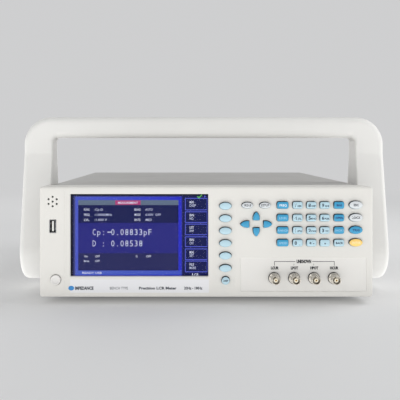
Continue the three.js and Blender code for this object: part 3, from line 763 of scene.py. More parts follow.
# =================================================================== bezel
BEZEL_W, BEZEL_H = (bezel_high.x - bezel_low.x) / MM, (bezel_high.z - bezel_low.z) / MM
CORNER, ROUNDING = 3.2, 2.0                         # corner radius, front edge rounding
WALL_BACK = 3.0                                     # rear face of the front wall
WINDOW_X, _, WINDOW_H = middle("display_window")
WINDOW_WIDE, WINDOW_TALL = 153.2, 90.9
USB_X, USB_H = -170.4, 78.6
BUZZER_X, BUZZER_H, BUZZER_RING = -170.6, 106.0, 5.2
JACKS = ["bnc_low_current", "bnc_low_potential", "bnc_high_potential", "bnc_high_current"]
JACK_XS = [middle(jack)[0] for jack in JACKS]
jack_low, jack_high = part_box(JACKS[0])
JACK_H = ((jack_low.z + jack_high.z) / 2 - BASE_Z) / MM
JACK_TIP = (jack_low.y - FRONT_Y) / MM
FIELD_FLOOR = .6                                    # depth of the sunk field of the test jacks

body = Body()
fronts, backs = [], []                              # hole rings in the front and rear faces


def hole(outline, front, lip):
    """Walls of a hole with a small rounded lip; returns its front and rear rings."""
    rings = body.loft(outline, [(lip, front), (lip * .45, front + lip * .12),
                                (lip * .12, front + lip * .45), (0, front + lip),
                                (0, WALL_BACK)])
    return rings[0], rings[-1]


def open_hole(outline, lip):
    front, back = hole(outline, 0, lip)
    fronts.append(front)
    backs.append(back)


def sunk_holes(outlines, front, lip):
    """Holes from a sunk floor; returns their front rings."""
    rings = [hole(outline, front, lip) for outline in outlines]
    backs.extend(back for _, back in rings)
    return [front_ring for front_ring, _ in rings]


# shallow column around the soft keys
rings = body.loft(rounded_rect(20.7, 60.2, 22.4, 98.4, 1.2, 5), [(.25, 0), (.10, .03), (0, .16)])
body.fill(rings[-1], sunk_holes(key_holes[:SOFT_COUNT], .16, .3))
fronts.append(rings[0])
for outline in key_holes[SOFT_COUNT:]:
    open_hole(outline, .3)
open_hole(oval(POWER_X, POWER_H, 12, 12, 64), .4)
# display opening: a soft sloping lip
rings = body.loft(rounded_rect(WINDOW_X, WINDOW_H + .2, WINDOW_WIDE, WINDOW_TALL + .4, .5, 4),
                  [(1.15, 0), (.95, .02), (.75, .10), (.12, .62), (0, .8), (0, WALL_BACK)])
fronts.append(rings[0])
backs.append(rings[-1])
# buzzer holes: six in a ring and one in the middle
for i in range(7):
    angle = math.pi / 2 + i * math.pi / 3
    reach = BUZZER_RING if i < 6 else 0
    open_hole(oval(BUZZER_X + reach * math.cos(angle), BUZZER_H + reach * math.sin(angle),
                   2.3, 2.3, 24), .12)
open_hole(rounded_rect(USB_X, USB_H, 7.6, 14.9, .6, 5), .3)
# parting groove of the left end piece
groove = [(-156.8, 118.6), (-157.15, 118.6), (-157.15, 4.2), (-156.8, 4.2)]
rings = body.loft(groove, [(.08, 0), (0, .1), (0, .28)])
body.fill(rings[-1])
fronts.append(rings[0])
# legend strip under the display
rings = body.loft(rounded_rect(-74.0, 12.2, 154.0, 14.6, .8, 4), [(.12, 0), (0, .07)])
body.fill(rings[-1], material="legend_strip")
fronts.append(rings[0])
# field of the test jacks
rings = body.loft(rounded_rect(108, 24.8, 140, 36.8, 1.6, 7),
                  [(.45, 0), (.30, .04), (.05, .5), (0, FIELD_FLOOR)])
fronts.append(rings[0])
jack_holes = sunk_holes([oval(x, JACK_H, 11.2, 11.2, 56) for x in JACK_XS], FIELD_FLOOR, .25)
body.fill(rings[-1], jack_holes, "jack_field_painted_light_plastic")


def bezel_ring(less_wide, less_tall, radius, depth):
    """Ring of the bezel's outer shape, narrowed and lowered by the first two values."""
    return body.ring(rounded_rect(0, BEZEL_H / 2, BEZEL_W - less_wide, BEZEL_H - less_tall,
                                  radius, 12), depth)


rings = []
for k in range(11):                                 # rounded front edge
    angle = k / 10 * math.pi / 2
    inset = ROUNDING * (1 - math.sin(angle))
    rings.append(bezel_ring(2 * inset, 2 * inset, CORNER - inset,
                            ROUNDING * (1 - math.cos(angle)) * .9 + .2))
rings = [bezel_ring(9.6, 5.6, .5, 0), bezel_ring(8.4, 4.8, .8, .03)] + rings
body.fill(rings[0], fronts)
# Inset, corner radius, depth: side with a groove round it, rear rim, and the inside.
for inset, radius, depth in ((0, CORNER, 20.2), (.7, CORNER - .35, 20.5), (.7, CORNER - .35, 21.1),
                             (0, CORNER, 21.4), (0, CORNER, 27.3), (.5, CORNER - .2, 27.8),
                             (1.4, CORNER - .6, 28.0), (5.4, 3.2, 28.0), (6, 3, 27.6),
                             (6, 3, WALL_BACK)):
    rings.append(bezel_ring(inset, inset, radius, depth))
body.stack(rings)
body.fill(rings[-1], backs)
make("bezel_shell", body, ["bezel_plastic", "jack_field_painted_light_plastic", "legend_strip"],
     replaces=("front_bezel",), angle=28)

# ---------------------------------------------------- printing on the front
INK_FRONT, INK_BACK = FIELD_FLOOR - .035, FIELD_FLOOR + .06
BRACKET_LEFT, BRACKET_RIGHT, BRACKET_H = JACK_XS[0] + .4, JACK_XS[-1] + .8, 39.4
body = Body()
for left, right in ((BRACKET_LEFT, 98.7), (118.0, BRACKET_RIGHT)):
    body.bar((left - .3, right + .3), about(BRACKET_H, .3), INK_FRONT, INK_BACK)
for x in (BRACKET_LEFT, BRACKET_RIGHT):
    body.bar(about(x, .3), (34.9, BRACKET_H + .3), INK_FRONT - .0002, INK_BACK)
for x in JACK_XS[1:3]:
    body.bar(about(x, .2), (35.1, 37.0), INK_FRONT, INK_BACK)
print_on(body, "UNKNOWN", 108.5, BRACKET_H - 1.6, 3.3, INK_FRONT, .1, bold=.075, squeeze=.60)
for x, text in zip(JACK_XS, ("LCUR", "LPOT", "HPOT", "HCUR")):
    print_on(body, text, x + .5, 30.8, 2.8, INK_FRONT, .1, bold=.07, squeeze=.8)
make("jack_field_print", body, ["ink_field"], weighted=False)

body = Body()
# Text, left end, base line, capital height, boldness, squeeze
for text, x, height, cap, bold, squeeze in (
        ("IMPEDANCE", -145.8, 8.2, 3.3, .05, .78), ("BENCH TYPE", -107.2, 8.4, 2.9, .005, .83),
        ("Precision LCR Meter", -74.8, 8.5, 2.8, .04, 1.19),
        ("20Hz - 1MHz", -24.6, 8.5, 2.8, .04, .90)):
    print_on(body, text, x, height, cap, .035, .1, align="LEFT", bold=bold, squeeze=squeeze)
make("legend_print", body, ["ink_grey"], weighted=False)

body = Body()
body.prism(oval(-149.9, 9.9, 6.4, 5.2, 40), -.05, .14, .02)
make("maker_mark_blank", body, ["ink_blue"], weighted=False)

# ================================================================= display
LENS_WIDE, LENS_TALL = WINDOW_WIDE - .6, WINDOW_TALL - .6
body = Body()
front = rounded_rect(WINDOW_X, WINDOW_H + .2, LENS_WIDE - .5, LENS_TALL - .1, .3, 4)
side = rounded_rect(WINDOW_X, WINDOW_H + .2, LENS_WIDE, LENS_TALL + .4, .5, 4)
flange = rounded_rect(WINDOW_X, WINDOW_H, 160.6, 99, 1.5, 4)
rings = [body.ring(outline, depth) for outline, depth in
         ((front, .5), (side, .75), (side, 3.3), (flange, 3.35), (flange, 4.45))]
body.stack(rings)
body.fill(rings[0])
body.fill(rings[-1])
make("window_lens", body, ["window_glass"], replaces=("display_window",), angle=30)

# LCD colours: name, colour, colour at the far end, gradient's start and end in metres.
LCD_GRADIENTS = [("edge", (22, 24, 38)), ("base", (30, 33, 82), (18, 22, 74), -.15, .0),
                 ("halo", (68, 72, 124), (44, 48, 120), -.151, -.03),
                 ("blue", (78, 92, 196), (40, 46, 194), -.151, -.03),
                 ("bottom", (74, 96, 186), (66, 84, 184), -.151, -.03),
                 ("head", (96, 112, 132)), ("title", (176, 62, 118), (170, 70, 120)),
                 ("info", (20, 25, 78), (14, 19, 70)), ("measure", (38, 38, 124), (34, 34, 114)),
                 ("lower", (36, 38, 88)), ("softkey", (18, 24, 78)), ("line", (88, 98, 214)),
                 ("white", (226, 230, 244)), ("dim", (198, 204, 228)), ("green", (96, 190, 70))]
for colour, rgb, *far in LCD_GRADIENTS:
    glow(f"lcd_{colour}", rgb, *(far or [rgb]))

# The picture is laid out from the upper left corner of the window: x to the right, y down.
# It is built of thin layers, each in front of the one before.
LAYER_STEP, LAYER_THICK = .03, .028
SMALL_CAP, ROW_CAP, SOFT_CAP = 2.2203, 2.4423, 2.6643
LABEL_X, RIGHT_LABEL_X = 14.543, 70.938
screen = Body()


def across(x):
    return WINDOW_X - WINDOW_WIDE / 2 + x


def down(y):
    return WINDOW_H + WINDOW_TALL / 2 - y


def layer_front(layer):
    return 4.83 - LAYER_STEP * layer


def patch(left, top, right, bottom, colour, layer):
    front = layer_front(layer)
    screen.bar((across(left), across(right)), (down(bottom), down(top)), front,
               front + LAYER_THICK, f"lcd_{colour}")


def fit(text, left, right, y, cap, bold, colour="white", layer=6):
    """Letters squeezed to run from left to right."""
    low, high = text_span(text, cap, "LEFT", bold)
    squeeze = (right - left) / (high - low)
    print_on(screen, text, across(left) - low * squeeze, down(y), cap, layer_front(layer),
             LAYER_THICK, f"lcd_{colour}", align="LEFT", bold=bold, squeeze=squeeze)


def write_mono(text, left, y, cap=6.6609, pitch=5.1955, bold=-.012):
    """Fixed-pitch letters; wide ones are narrowed to the cell."""
    for i, letter in enumerate(text):
        if letter == " ":
            continue
        low, high = text_span(letter, cap, "CENTER", bold)
        squeeze = min(1.0, .66 * pitch / max(1e-6, high - low))
        shift = (high + low) / 2 * squeeze
        print_on(screen, letter, across(left) + pitch * (i + .5) - shift, down(y), cap,
                 layer_front(6), LAYER_THICK, "lcd_white", bold=bold, squeeze=squeeze)


# Left, top, right, bottom, colour, layer
for entry in ((-.777, -.776, 153.977, 91.676, "edge", 0),
              (1.887, 1.663, 152.867, 90.567, "base", 1),
              (2.997, 2.106, 124.447, 90.567, "halo", 2),
              (4.774, 2.993, 123.559, 90.567, "blue", 3),
              (4.774, 85.579, 123.559, 89.902, "bottom", 4),
              (7.993, 6.651, 120.007, 85.357, "lower", 4),
              (7.993, 6.651, 120.007, 12.194, "head", 5),
              (49.401, 6.984, 77.710, 11.972, "title", 6),
              (7.993, 12.194, 120.007, 32.148, "info", 5),
              (7.993, 32.148, 120.007, 65.958, "measure", 5)):
    patch(*entry)
print_on(screen, "MEASUREMENT", across(63.500), down(10.753), SMALL_CAP, layer_front(7),
         LAYER_THICK, "lcd_white", bold=.012)
# Left label, value and the value's right end; right label, value and the value's right end
for row, (label, value, end, label2, value2, end2) in enumerate((
        ("FUNC", ":Cp-D", 35.636, "BIAS", ":AUTO", 91.143),
        ("FREQ", ":1.00000MHz", 45.849, "MODE", ":0.00V  OFF", 100.468),
        ("LVL.", ":1.000 V", 40.298, "RATE", ":MED", 90.255))):
    y = 18.5126 + row * 5.70896
    fit(label, LABEL_X, 20.760, y, ROW_CAP, .010)
    fit(value, 26.310, end, y, ROW_CAP, .010, "dim")
    fit(label2, RIGHT_LABEL_X, 77.599, y, ROW_CAP, .010)
    fit(value2, 82.706, end2, y, ROW_CAP, .010, "dim")
write_mono("Cp: 0.08833pF", 23.313, 45.783)
patch(40.631, 42.014, 44.850, 42.900, "white", 6)
write_mono("D : 0.08538", 23.313, 58.420)
for row, (label, end) in enumerate((("Vm", 18.539), ("Im", 20.094))):
    y = 70.614 + row * 5.2101
    fit(label, LABEL_X, end, y, SMALL_CAP, .008)
    fit(":OFF", 26.754, 32.083, y, SMALL_CAP, .008)
fit("CR", 72.270, 74.269, 70.614, SMALL_CAP, .008)
fit(":OFF", 83.594, 89.367, 70.614, SMALL_CAP, .008)
fit("READY USB", 12.545, 34.303, 89.015, 2.1093, .010)
# Soft-key labels: top, bottom, upper word, lower word
for top, bottom, upper, lower in (
        (4.323, 18.069, "MEAS", "DISP"), (19.399, 32.037, "BIN", "NO."),
        (33.145, 45.783, "LIST", "SWP"), (47.335, 59.085, "BIN", "CNT"),
        (60.859, 73.496, "MEAS", "SET"), (74.383, 87.242, "FILE", "MORE")):
    patch(127.334, top, 152.201, bottom, "line", 2)
    patch(128.111, top + .776, 151.757, bottom - .776, "softkey", 3)
    y = (top + bottom) / 2
    fit(upper, 132.440, 137.325, y - .887, SOFT_CAP, .012)
    fit(lower, 132.440, 139.545 if len(lower) > 3 else 137.103, y + 2.882, SOFT_CAP, .012, "dim")
fit("1/2", 135.327, 142.432, 90.567, 1.9983, .012, layer=4)
# small green tick and a round dot beside it
TICK = [(142.987, 3.215), (141.543, 2.106), (140.655, 2.993), (143.098, 4.988), (146.650, .998),
        (145.984, .333)]
screen.prism([(across(x), down(y)) for x, y in TICK], 4.70, 4.73, 0, "lcd_green")
screen.prism(oval(across(149.537), down(2.550), 1.7, 1.9, 20), 4.70, 4.73, 0, "lcd_line")
MATERIALS_OF_SCREEN = [f"lcd_{entry[0]}" for entry in LCD_GRADIENTS]
make("lcd_picture", screen, MATERIALS_OF_SCREEN, weighted=False)
carry("lcd_module", "lcd_frame")
carry("keypad_board", "circuit_board")

# ============================================== USB socket, buzzer and board
ZINC, NICKEL, GOLD, BLACK = "zinc_sheet", "nickel", "gold_contact", "black_plastic"
TONGUE = "socket_tongue"
body = Body()
body.prism(rounded_rect(-170, 61.5, 22, 107, 1.0, 3), 8.0, 9.6, .1)
# shell of the socket: open tube with a rolled edge
outside = body.loft(rounded_rect(USB_X, USB_H, 6.8, 14.1, .8, 5),
                    [(-.12, -.2), (0, -.05), (0, 7.9)], ZINC)
opening = rounded_rect(USB_X, USB_H, 6.1, 13.4, .5, 5)
inside = body.loft(opening, [(.12, -.2), (0, .15)], ZINC)
inside.append(body.ring(opening, 7.0))
body.strip(inside[1], inside[2], BLACK)
body.strip(outside[0], inside[0], ZINC)
body.fill(inside[-1], material=BLACK)
body.fill(outside[-1], material=ZINC)
for side in (-1, 1):                                # spring tongues of the shell
    for up in (-3.0, 3.0):
        body.box(about(USB_X + side * 2.55, .12), (.6, 5.6), about(USB_H + up, .9), .1, ZINC)
body.box(about(USB_X, 1.0), (.8, 7.05), about(USB_H, 5.6), .2, TONGUE)
for up in (-3.5, -1.2, 1.2, 3.5):                   # contacts on the left of the tongue
    body.box((USB_X - 1.18, USB_X - .97), (1.3, 6.6), about(USB_H + up, .55), .06, GOLD)
body.lathe([(0, 4.2), (1.2, 4.2), (1.2, 4.9), (7.6, 4.9), (8, 5.3), (8, 8.05), (0, 8.05)],
           (BUZZER_X, 0, BUZZER_H), steps=40, material=BLACK)
body.box(about(POWER_X, 3), (6.4, 8.05), about(POWER_H, 3), .2, BLACK)
body.lathe([(0, 6.0), (1.3, 6.0), (1.4, 6.1), (1.4, 6.5), (0, 6.5)], (POWER_X, 0, POWER_H),
           steps=20, material=TONGUE)
make("usb_buzzer_board_piece", body, ["circuit_board", ZINC, TONGUE, BLACK, GOLD],
     replaces=("usb_buzzer_board",), angle=35)

# =============================================================== test jacks
CREAM = "jack_insulator"
JACK_PROFILE = [
    (0, 20), (4.4, 20), (4.4, 12), (4.9, 12), (4.9, .2, BLACK), (6.6, .2, BLACK),
    (6.6, -.5, BLACK), (6.45, -.62, BLACK), (6.1, -.65), (6.15, -.8), (6.15, -2.3), (5.95, -2.6),
    (5.5, -2.75), (5.3, -2.9), (5.3, -4.0), (5.15, -4.2), (4.85, -4.25), (4.62, -4.45),
    (4.62, -5.2), (4.85, -5.4), (4.85, JACK_TIP + .5), (4.7, JACK_TIP + .14), (4.45, JACK_TIP),
    (4.28, JACK_TIP), (4.1, JACK_TIP + .18), (4.05, JACK_TIP + .5), (4.05, -3.2),
    (2.35, -3.2, CREAM), (2.35, -12.6, CREAM), (2.15, -12.9, CREAM), (1.02, -12.9, CREAM),
    (.95, -12.7, GOLD), (.95, -12.95, GOLD), (.6, -13.0, GOLD), (.5, -10.4, GOLD), (0, -10.2, GOLD)]
PIN_PROFILE = [(0, 4.3), (.82, 4.3), (.82, 5.35), (.68, 5.55), (0, 5.6)]
for jack, x in zip(JACKS, JACK_XS):
    body = Body()
    body.lathe(JACK_PROFILE, (x, 0, JACK_H), steps=56)
    for side in (1, 1, -1):                         # bayonet pins; the right one is laid twice
        body.lathe(mirrored(PIN_PROFILE, side), (x, -10.1, JACK_H), "x", steps=20)
    # solder cup at the back of the centre contact
    body.lathe([(0, 20.05), (1.1, 20.05), (1.1, 23.5), (.7, 23.5), (.7, 21), (0, 21)],
               (x, 0, JACK_H), steps=20, material=GOLD)
    make(f"{jack}_jack", body, [NICKEL, CREAM, GOLD, BLACK], replaces=(jack,), angle=40)

# ==================================================================== case
COVER_HALF, COVER_TOP, COVER_LOW = 181.5, 121.6, 4.0
COVER_FRONT, COVER_BACK, SHEET = 28.3, 400.0, 1.5
BEND = 2.0                                          # outside bend radius of the sheet


def case_line(half, top, radius):
    """(x, height) from the right lower edge over the top to the left lower edge."""
    points = [(half, COVER_LOW)]
    for i in range(7):
        angle = i / 6 * math.pi / 2
        points.append((half - radius + radius * math.cos(angle),
                       top - radius + radius * math.sin(angle)))
    return points + [(-x, height) for x, height in reversed(points)]


body = Body()
skins = []
for inset in (0, SHEET):
    line = case_line(COVER_HALF - inset, COVER_TOP - inset, BEND - inset)
    front, back = [body.ring(line, depth) for depth in (COVER_FRONT, COVER_BACK)]
    skins.append((front, back))
    # the top and the bends; the flat sides follow with their slots
    body.strip(front[1:-1], back[1:-1], closed=False)
for outer, inner in zip(*skins):
    body.strip(outer, inner, closed=False)
for side in (1, -1):
    slots = []
    for half in (COVER_HALF, COVER_HALF - SHEET):
        x, top = side * half, COVER_TOP - BEND
        sheet = body.place([(x, COVER_FRONT, COVER_LOW), (x, COVER_BACK, COVER_LOW),
                            (x, COVER_BACK, top), (x, COVER_FRONT, top)])
        slots.append([body.place([(x, depth, height) for depth, height in
                                  rounded_rect(257 + 9 * i, 61, 4, 46, 1.99, 6)])
                      for i in range(12)])
        body.fill(sheet, slots[-1])
    for outer, inner in zip(*slots):
        body.strip(outer, inner)
    body.face(body.place([(side * half, depth, COVER_LOW) for half, depth in
                          ((COVER_HALF, COVER_FRONT), (COVER_HALF, COVER_BACK),
                           (COVER_HALF - SHEET, COVER_BACK), (COVER_HALF - SHEET, COVER_FRONT))]))
make("cover_sheet", body, ["case_paint"], replaces=("top_cover",), angle=30)
carry("chassis_tray", ZINC)
carry("power_supply", "supply_metal")

body = Body()
for side in (1, -1):
    for depth in (46, 214, 384):
        screw(body, (side * COVER_HALF, depth, 12.0), "x", side)
make("cover_screws", body, ["screw_steel"], angle=35)

# ============================================================== rear panel
FAN_X, _, FAN_H = middle("fan_frame")
INLET_X, _, INLET_H = middle("mains_inlet")
REAR = 398                                          # rear face of the panel
# (x, height) of the connectors
DSUB36, DSUB9, LAN, USB_B = (40, 27), (92, 27), (124, 27), (148, 26)
GROUND_X = -98
FAN_CORNERS = [(1, 1), (1, -1), (-1, 1), (-1, -1)]
FAN_SCREW = 35.75                                   # from the fan's middle, each way


def d_shape(x, height, wide, tall, slant):
    return [(x + wide / 2, height + tall / 2), (x - wide / 2, height + tall / 2),
            (x - wide / 2 + slant, height - tall / 2), (x + wide / 2 - slant, height - tall / 2)]


half, top, low = COVER_HALF - SHEET - .4, COVER_TOP - SHEET - .4, COVER_LOW + .3
outline = [(half, top - 3), (half - 3, top), (-half + 3, top), (-half, top - 3), (-half, low),
           (half, low)]
holes = [oval(FAN_X, FAN_H, 74, 74, 72), rounded_rect(INLET_X, INLET_H, 31, 27, 1, 4),
         d_shape(*DSUB36, 58, 14, 0), rounded_rect(*DSUB9, 21, 13, 2, 5),
         rounded_rect(*LAN, 17.2, 14.4, .4, 3), rounded_rect(*USB_B, 13.2, 12.2, .4, 3)]
holes += [rounded_rect(34.5 + 14 * i, height, 9, 3, 1.49, 6)
          for i in range(9) for height in (79.5, 87.5)]
body = Body()
body.plate(outline, holes, REAR - 2, REAR, .15)
make("rear_sheet", body, ["case_paint"], replaces=("rear_panel",), angle=30)

body = Body()
for x, height in ((-171, 12), (171, 12), (-171, 110), (171, 110), (0, 112), (10, 12)):
    screw(body, (x, REAR, height), "y", 1)
for side in (-1, 1):
    screw(body, (INLET_X + side * 20, 401.3, INLET_H), "y", 1, 2.7, 1.4)
for side, up in FAN_CORNERS:
    screw(body, (FAN_X + FAN_SCREW * side, 400.9, FAN_H + FAN_SCREW * up), "y", 1, 3.1, 1.9)
make("rear_screws", body, ["screw_steel"], angle=35)


def wire_ring(x, depth, height, radius, points, steps):
    body.tube([(x + radius * math.cos(i / points * 2 * math.pi), depth,
                height + radius * math.sin(i / points * 2 * math.pi)) for i in range(points)],
              .8, steps, True)


body = Body()                                       # wire guard of the fan
for radius in (9, 17, 25, 33):
    wire_ring(FAN_X, 400.0, FAN_H, radius, 56, 10)
for side, up in FAN_CORNERS:
    wire_ring(FAN_X + FAN_SCREW * side, 399.6, FAN_H + FAN_SCREW * up, 3.6, 24, 8)
    body.tube([(FAN_X + reach * side, depth, FAN_H + reach * up)
               for reach, depth in ((5.5, 399.0), (20, 399.0), (33.4, 399.2))], .8)
make("fan_guard", body, ["screw_steel"], angle=60)

body = Body()                                       # letters, mirrored to read from behind
for text, x, height in (("HANDLER", DSUB36[0], 37.5), ("RS-232", DSUB9[0], 37.5),
                        ("LAN", LAN[0], 37.5), ("USB", USB_B[0], 37.5), ("FUSE", INLET_X, 53.0),
                        ("AC IN", INLET_X, 12.5), ("GND", GROUND_X, 12.5)):
    print_on(body, text, x, height, 3.0, REAR + .02, -.04, bold=.012, squeeze=-1)
make("rear_print", body, ["ink_dark"], weighted=False)


def knurl(angle, along):
    """Shallow flutes round the nut of the earth post."""
    fluted = 401.3 < along < 405.9 and int(angle / (2 * math.pi) * 24 + .01) % 2
    return 1 - (.05 if fluted else 0)


body = Body()
body.lathe([(0, 397.9), (5.5, 397.9), (5.5, 399.0), (3.0, 399.0), (3.0, 399.8), (2.0, 399.8),
            (2.0, 401.2), (4.6, 401.2), (5.0, 401.6), (5.0, 405.6), (4.6, 406.0), (2.0, 406.0),
            (2.0, 407.2), (1.6, 407.6), (0, 407.6)], (GROUND_X, 0, 22.5), shape=knurl)
make("earth_post", body, [NICKEL], angle=25)

# Mains inlet
body = Body()
flange = body.loft(rounded_rect(INLET_X, INLET_H, 50, 31, 5, 8),
                   [(0, 398.3), (0, 400.8), (-.5, 401.3)])
neck = body.loft(rounded_rect(INLET_X, INLET_H, 30, 26, 1, 8), [(0, 376), (0, 398.3)])
body.fill(neck[0])
body.fill(flange[0], [neck[1]])
SOCKET = [(12, 4.2), (8, 8.2), (-8, 8.2), (-12, 4.2), (-12, -8.2), (12, -8.2)]
socket = body.loft([(INLET_X + x, INLET_H + y) for x, y in SOCKET],
                   [(.5, 401.3), (0, 400.9), (0, 384)])
body.fill(socket[-1])
body.fill(flange[-1], [socket[0]])
for side, up in ((-7, -2), (7, -2), (0, 2)):
    body.box(about(INLET_X + side, 1), (383.9, 399.2), about(INLET_H + up, 2), .35,
             "screw_steel")
# fuse drawer and its grip
body.box(about(INLET_X, 11), (400.6, 402.6), (INLET_H + 10.0, INLET_H + 14.8), .5)
body.box(about(INLET_X, 3), (402.4, 403.2), (INLET_H + 11.2, INLET_H + 13.6), .3)
make("mains_inlet_piece", body, [BLACK, "screw_steel"],
     replaces=("mains_inlet",), angle=30)

# Fan frame: two flanges, a duct, four ribs and the motor plate
FAN_FRONT, FAN_BACK = 370.4, 395.6
body = Body()
square = rounded_rect(FAN_X, FAN_H, 80, 80, 4.5, 8)
corners = [oval(FAN_X + FAN_SCREW * side, FAN_H + FAN_SCREW * up, 4.4, 4.4, 16)
           for side, up in FAN_CORNERS]
for bore, front, back in ((76, FAN_FRONT, FAN_FRONT + 4.0), (76.2, FAN_BACK - 4.0, FAN_BACK)):
    body.plate(square, [oval(FAN_X, FAN_H, bore, bore, 72)] + corners, front, back, .25)
duct = [body.ring(oval(FAN_X, FAN_H, wide, wide, 72), depth)
        for wide, depth in ((79.4, FAN_FRONT + 3.6), (79.4, FAN_BACK - 3.6),
                            (76.1, FAN_BACK - 3.6), (76.1, FAN_FRONT + 3.6))]
body.stack(duct + duct[:1])
for k in range(4):
    angle = math.pi / 4 + k * math.pi / 2
    cos, sin = math.cos(angle), math.sin(angle)
    rib = [(FAN_X + reach * cos - side * sin, FAN_H + reach * sin + side * cos)
           for reach, side in ((14, 2.0), (14, -2.0), (38.4, -2.0), (38.4, 2.0))]
    body.prism(rib, FAN_BACK - 3.0, FAN_BACK - .4, .3)
body.plate(oval(FAN_X, FAN_H, 34, 34, 48), [oval(FAN_X, FAN_H, 5.2, 5.2, 24)], FAN_BACK - 3,
           FAN_BACK - .3, .3)
make("fan_frame_piece", body, [BLACK], replaces=("fan_frame",), angle=35)

# Fan rotor with seven twisted blades
body = Body()
body.lathe([(0, FAN_FRONT + 1.5), (14.6, FAN_FRONT + 1.5), (15.6, FAN_FRONT + 1.9),
            (16, FAN_FRONT + 2.9), (16, FAN_BACK - 3.9), (15.2, FAN_BACK - 3.8),
            (2.0, FAN_BACK - 3.8), (2.0, FAN_BACK - 1.1), (1.7, FAN_BACK - 1.0),
            (0, FAN_BACK - 1.0)], (FAN_X, 0, FAN_H))
blade_depth = (FAN_FRONT + FAN_BACK - 2.3) / 2


def blade_section(start, share):
    """Ring of a blade at a share of its length from the root."""
    radius = 15.2 + 20.6 * share
    tilt = .62 + .38 * share
    chord = 17.5 + 4.5 * share
    points = []
    for j in range(16):
        angle = j / 16 * 2 * math.pi
        u = math.cos(angle) * chord / 2
        v = math.sin(angle) * (.8 - .25 * share) + 1.6 * (1 - (2 * u / chord) ** 2) - .8
        along = u * math.sin(tilt) + v * math.cos(tilt)
        depth = max(-9.6, min(8.6, -u * math.cos(tilt) + v * math.sin(tilt)))
        turn = start + along / radius
        points.append((FAN_X + radius * math.cos(turn), blade_depth + depth,
                       FAN_H + radius * math.sin(turn)))
    return points


for k in range(7):
    rings = [body.place(blade_section(k / 7 * 2 * math.pi, i / 6)) for i in range(7)]
    body.stack(rings)
    body.fill(rings[0])
    body.fill(rings[-1])
make("fan_rotor_piece", body, [BLACK], "rotor", ("fan_rotor",), angle=40)

# ============================================ main board and rear connectors
BOARD_TOP = 17.05                                   # parts start just inside the board
BOARD, CHIP = "circuit_board", "chip_epoxy"
body = Body()


def block(xs, depths, heights, ease, material):
    """Block lying on the board, with rounded corners seen from above."""
    (left, right), (front, back), (low, high) = xs, depths, heights
    outline = rounded_rect((left + right) / 2, (front + back) / 2, right - left, back - front,
                           ease * 1.2, 3)
    body.slab(outline, low, high, ease, material)


def connector(shell, opening, front, floor_depth, back):
    """Metal shell with a black floor; it faces the rear, so `front` is its outer end."""
    outer = body.loft(shell, [(0, back), (0, front - .3), (-.3, front)], NICKEL)
    body.fill(outer[0], material=NICKEL)
    inner = body.loft(opening, [(.15, front), (0, front - .2), (0, floor_depth)], NICKEL)
    body.fill(outer[-1], [inner[0]], NICKEL)
    body.fill(inner[-1], material=BLACK)


def contact(xs, depths, heights):
    body.box(xs, depths, heights, .08, GOLD)


block((-45, 172), (150, 393), (15.5, 17.1), .1, BOARD)
block((40, 165), (165, 270), (BOARD_TOP, 35), .6, ZINC)
for i in range(5):
    block((52 + i * 24, 62 + i * 24), (180, 186), (34.9, 35.4), .1, ZINC)
block((-30, 5), (190, 225), (BOARD_TOP, 21), .3, CHIP)
block((-30, -5), (250, 290), (BOARD_TOP, 20), .3, CHIP)
for i in range(6):                                  # upright fins and their base
    block((-40 + i * 2.4, -38.7 + i * 2.4), (320, 345), (19, 42), .15, ZINC)
block((-40, -26.6), (320, 345), (BOARD_TOP, 20), .2, ZINC)
for i in range(6):
    for j in range(3):
        block((8 + i * 4.6, 10.4 + i * 4.6), (296 + j * 9, 300.4 + j * 9), (BOARD_TOP, 18.2), .15,
              GOLD if (i + j) % 3 else CHIP)
for i in range(4):                                  # upright cylinders
    body.lathe([(0, BOARD_TOP), (4, BOARD_TOP), (4, 26.5), (3.6, 27), (0, 27)],
               (20 + 11 * i, 345, 0), "z", 28, BLACK)

x, height = DSUB36
block(about(x, 20), (378, 392), (BOARD_TOP, height - 6.5), .3, BLACK)
connector(d_shape(x, height, 56.8, 12.8, 3.2), d_shape(x, height, 52.0, 9.4, 2.6), 408, 399, 380)
body.box(about(x, 22), (398.8, 405.4), about(height, 1.6), .3, BLACK)
for i in range(18):
    for side in (1, -1):
        contact((x - 21 + 2.35 * i, x - 20 + 2.35 * i), (399.5, 405.0),
                about(height + side * 1.62, .1))

x, height = DSUB9
block(about(x, 9), (378, 392), (BOARD_TOP, height - 5.9), .3, BLACK)
connector(d_shape(x, height, 19.6, 11.6, 2.2), d_shape(x, height, 17.2, 9.0, 1.8), 404, 399.2,
          380)
for count, start, low, high in ((5, -5.54, 1.0, 1.9), (4, -4.15, -1.9, -1.0)):
    for i in range(count):
        contact(about(x + start + 2.77 * i, .45), (399.0, 403.4), (height + low, height + high))

x, height = LAN
LAN_OPENING = [(6, 2.4), (3.2, 2.4), (3.2, 4.2), (-3.2, 4.2), (-3.2, 2.4), (-6, 2.4), (-6, -4.5),
               (6, -4.5)]
block(about(x, 8), (378, 393.5), (BOARD_TOP, height + 6.5), .3, NICKEL)
connector(rounded_rect(x, height, 16, 13.2, .5, 3),
          [(x + side, height + up) for side, up in LAN_OPENING], 400, 388.3, 388)
for i in range(8):
    contact((x - 4.4 + 1.2 * i, x - 3.9 + 1.2 * i), (389.0, 397.5), (height - 4.4, height - 4.0))

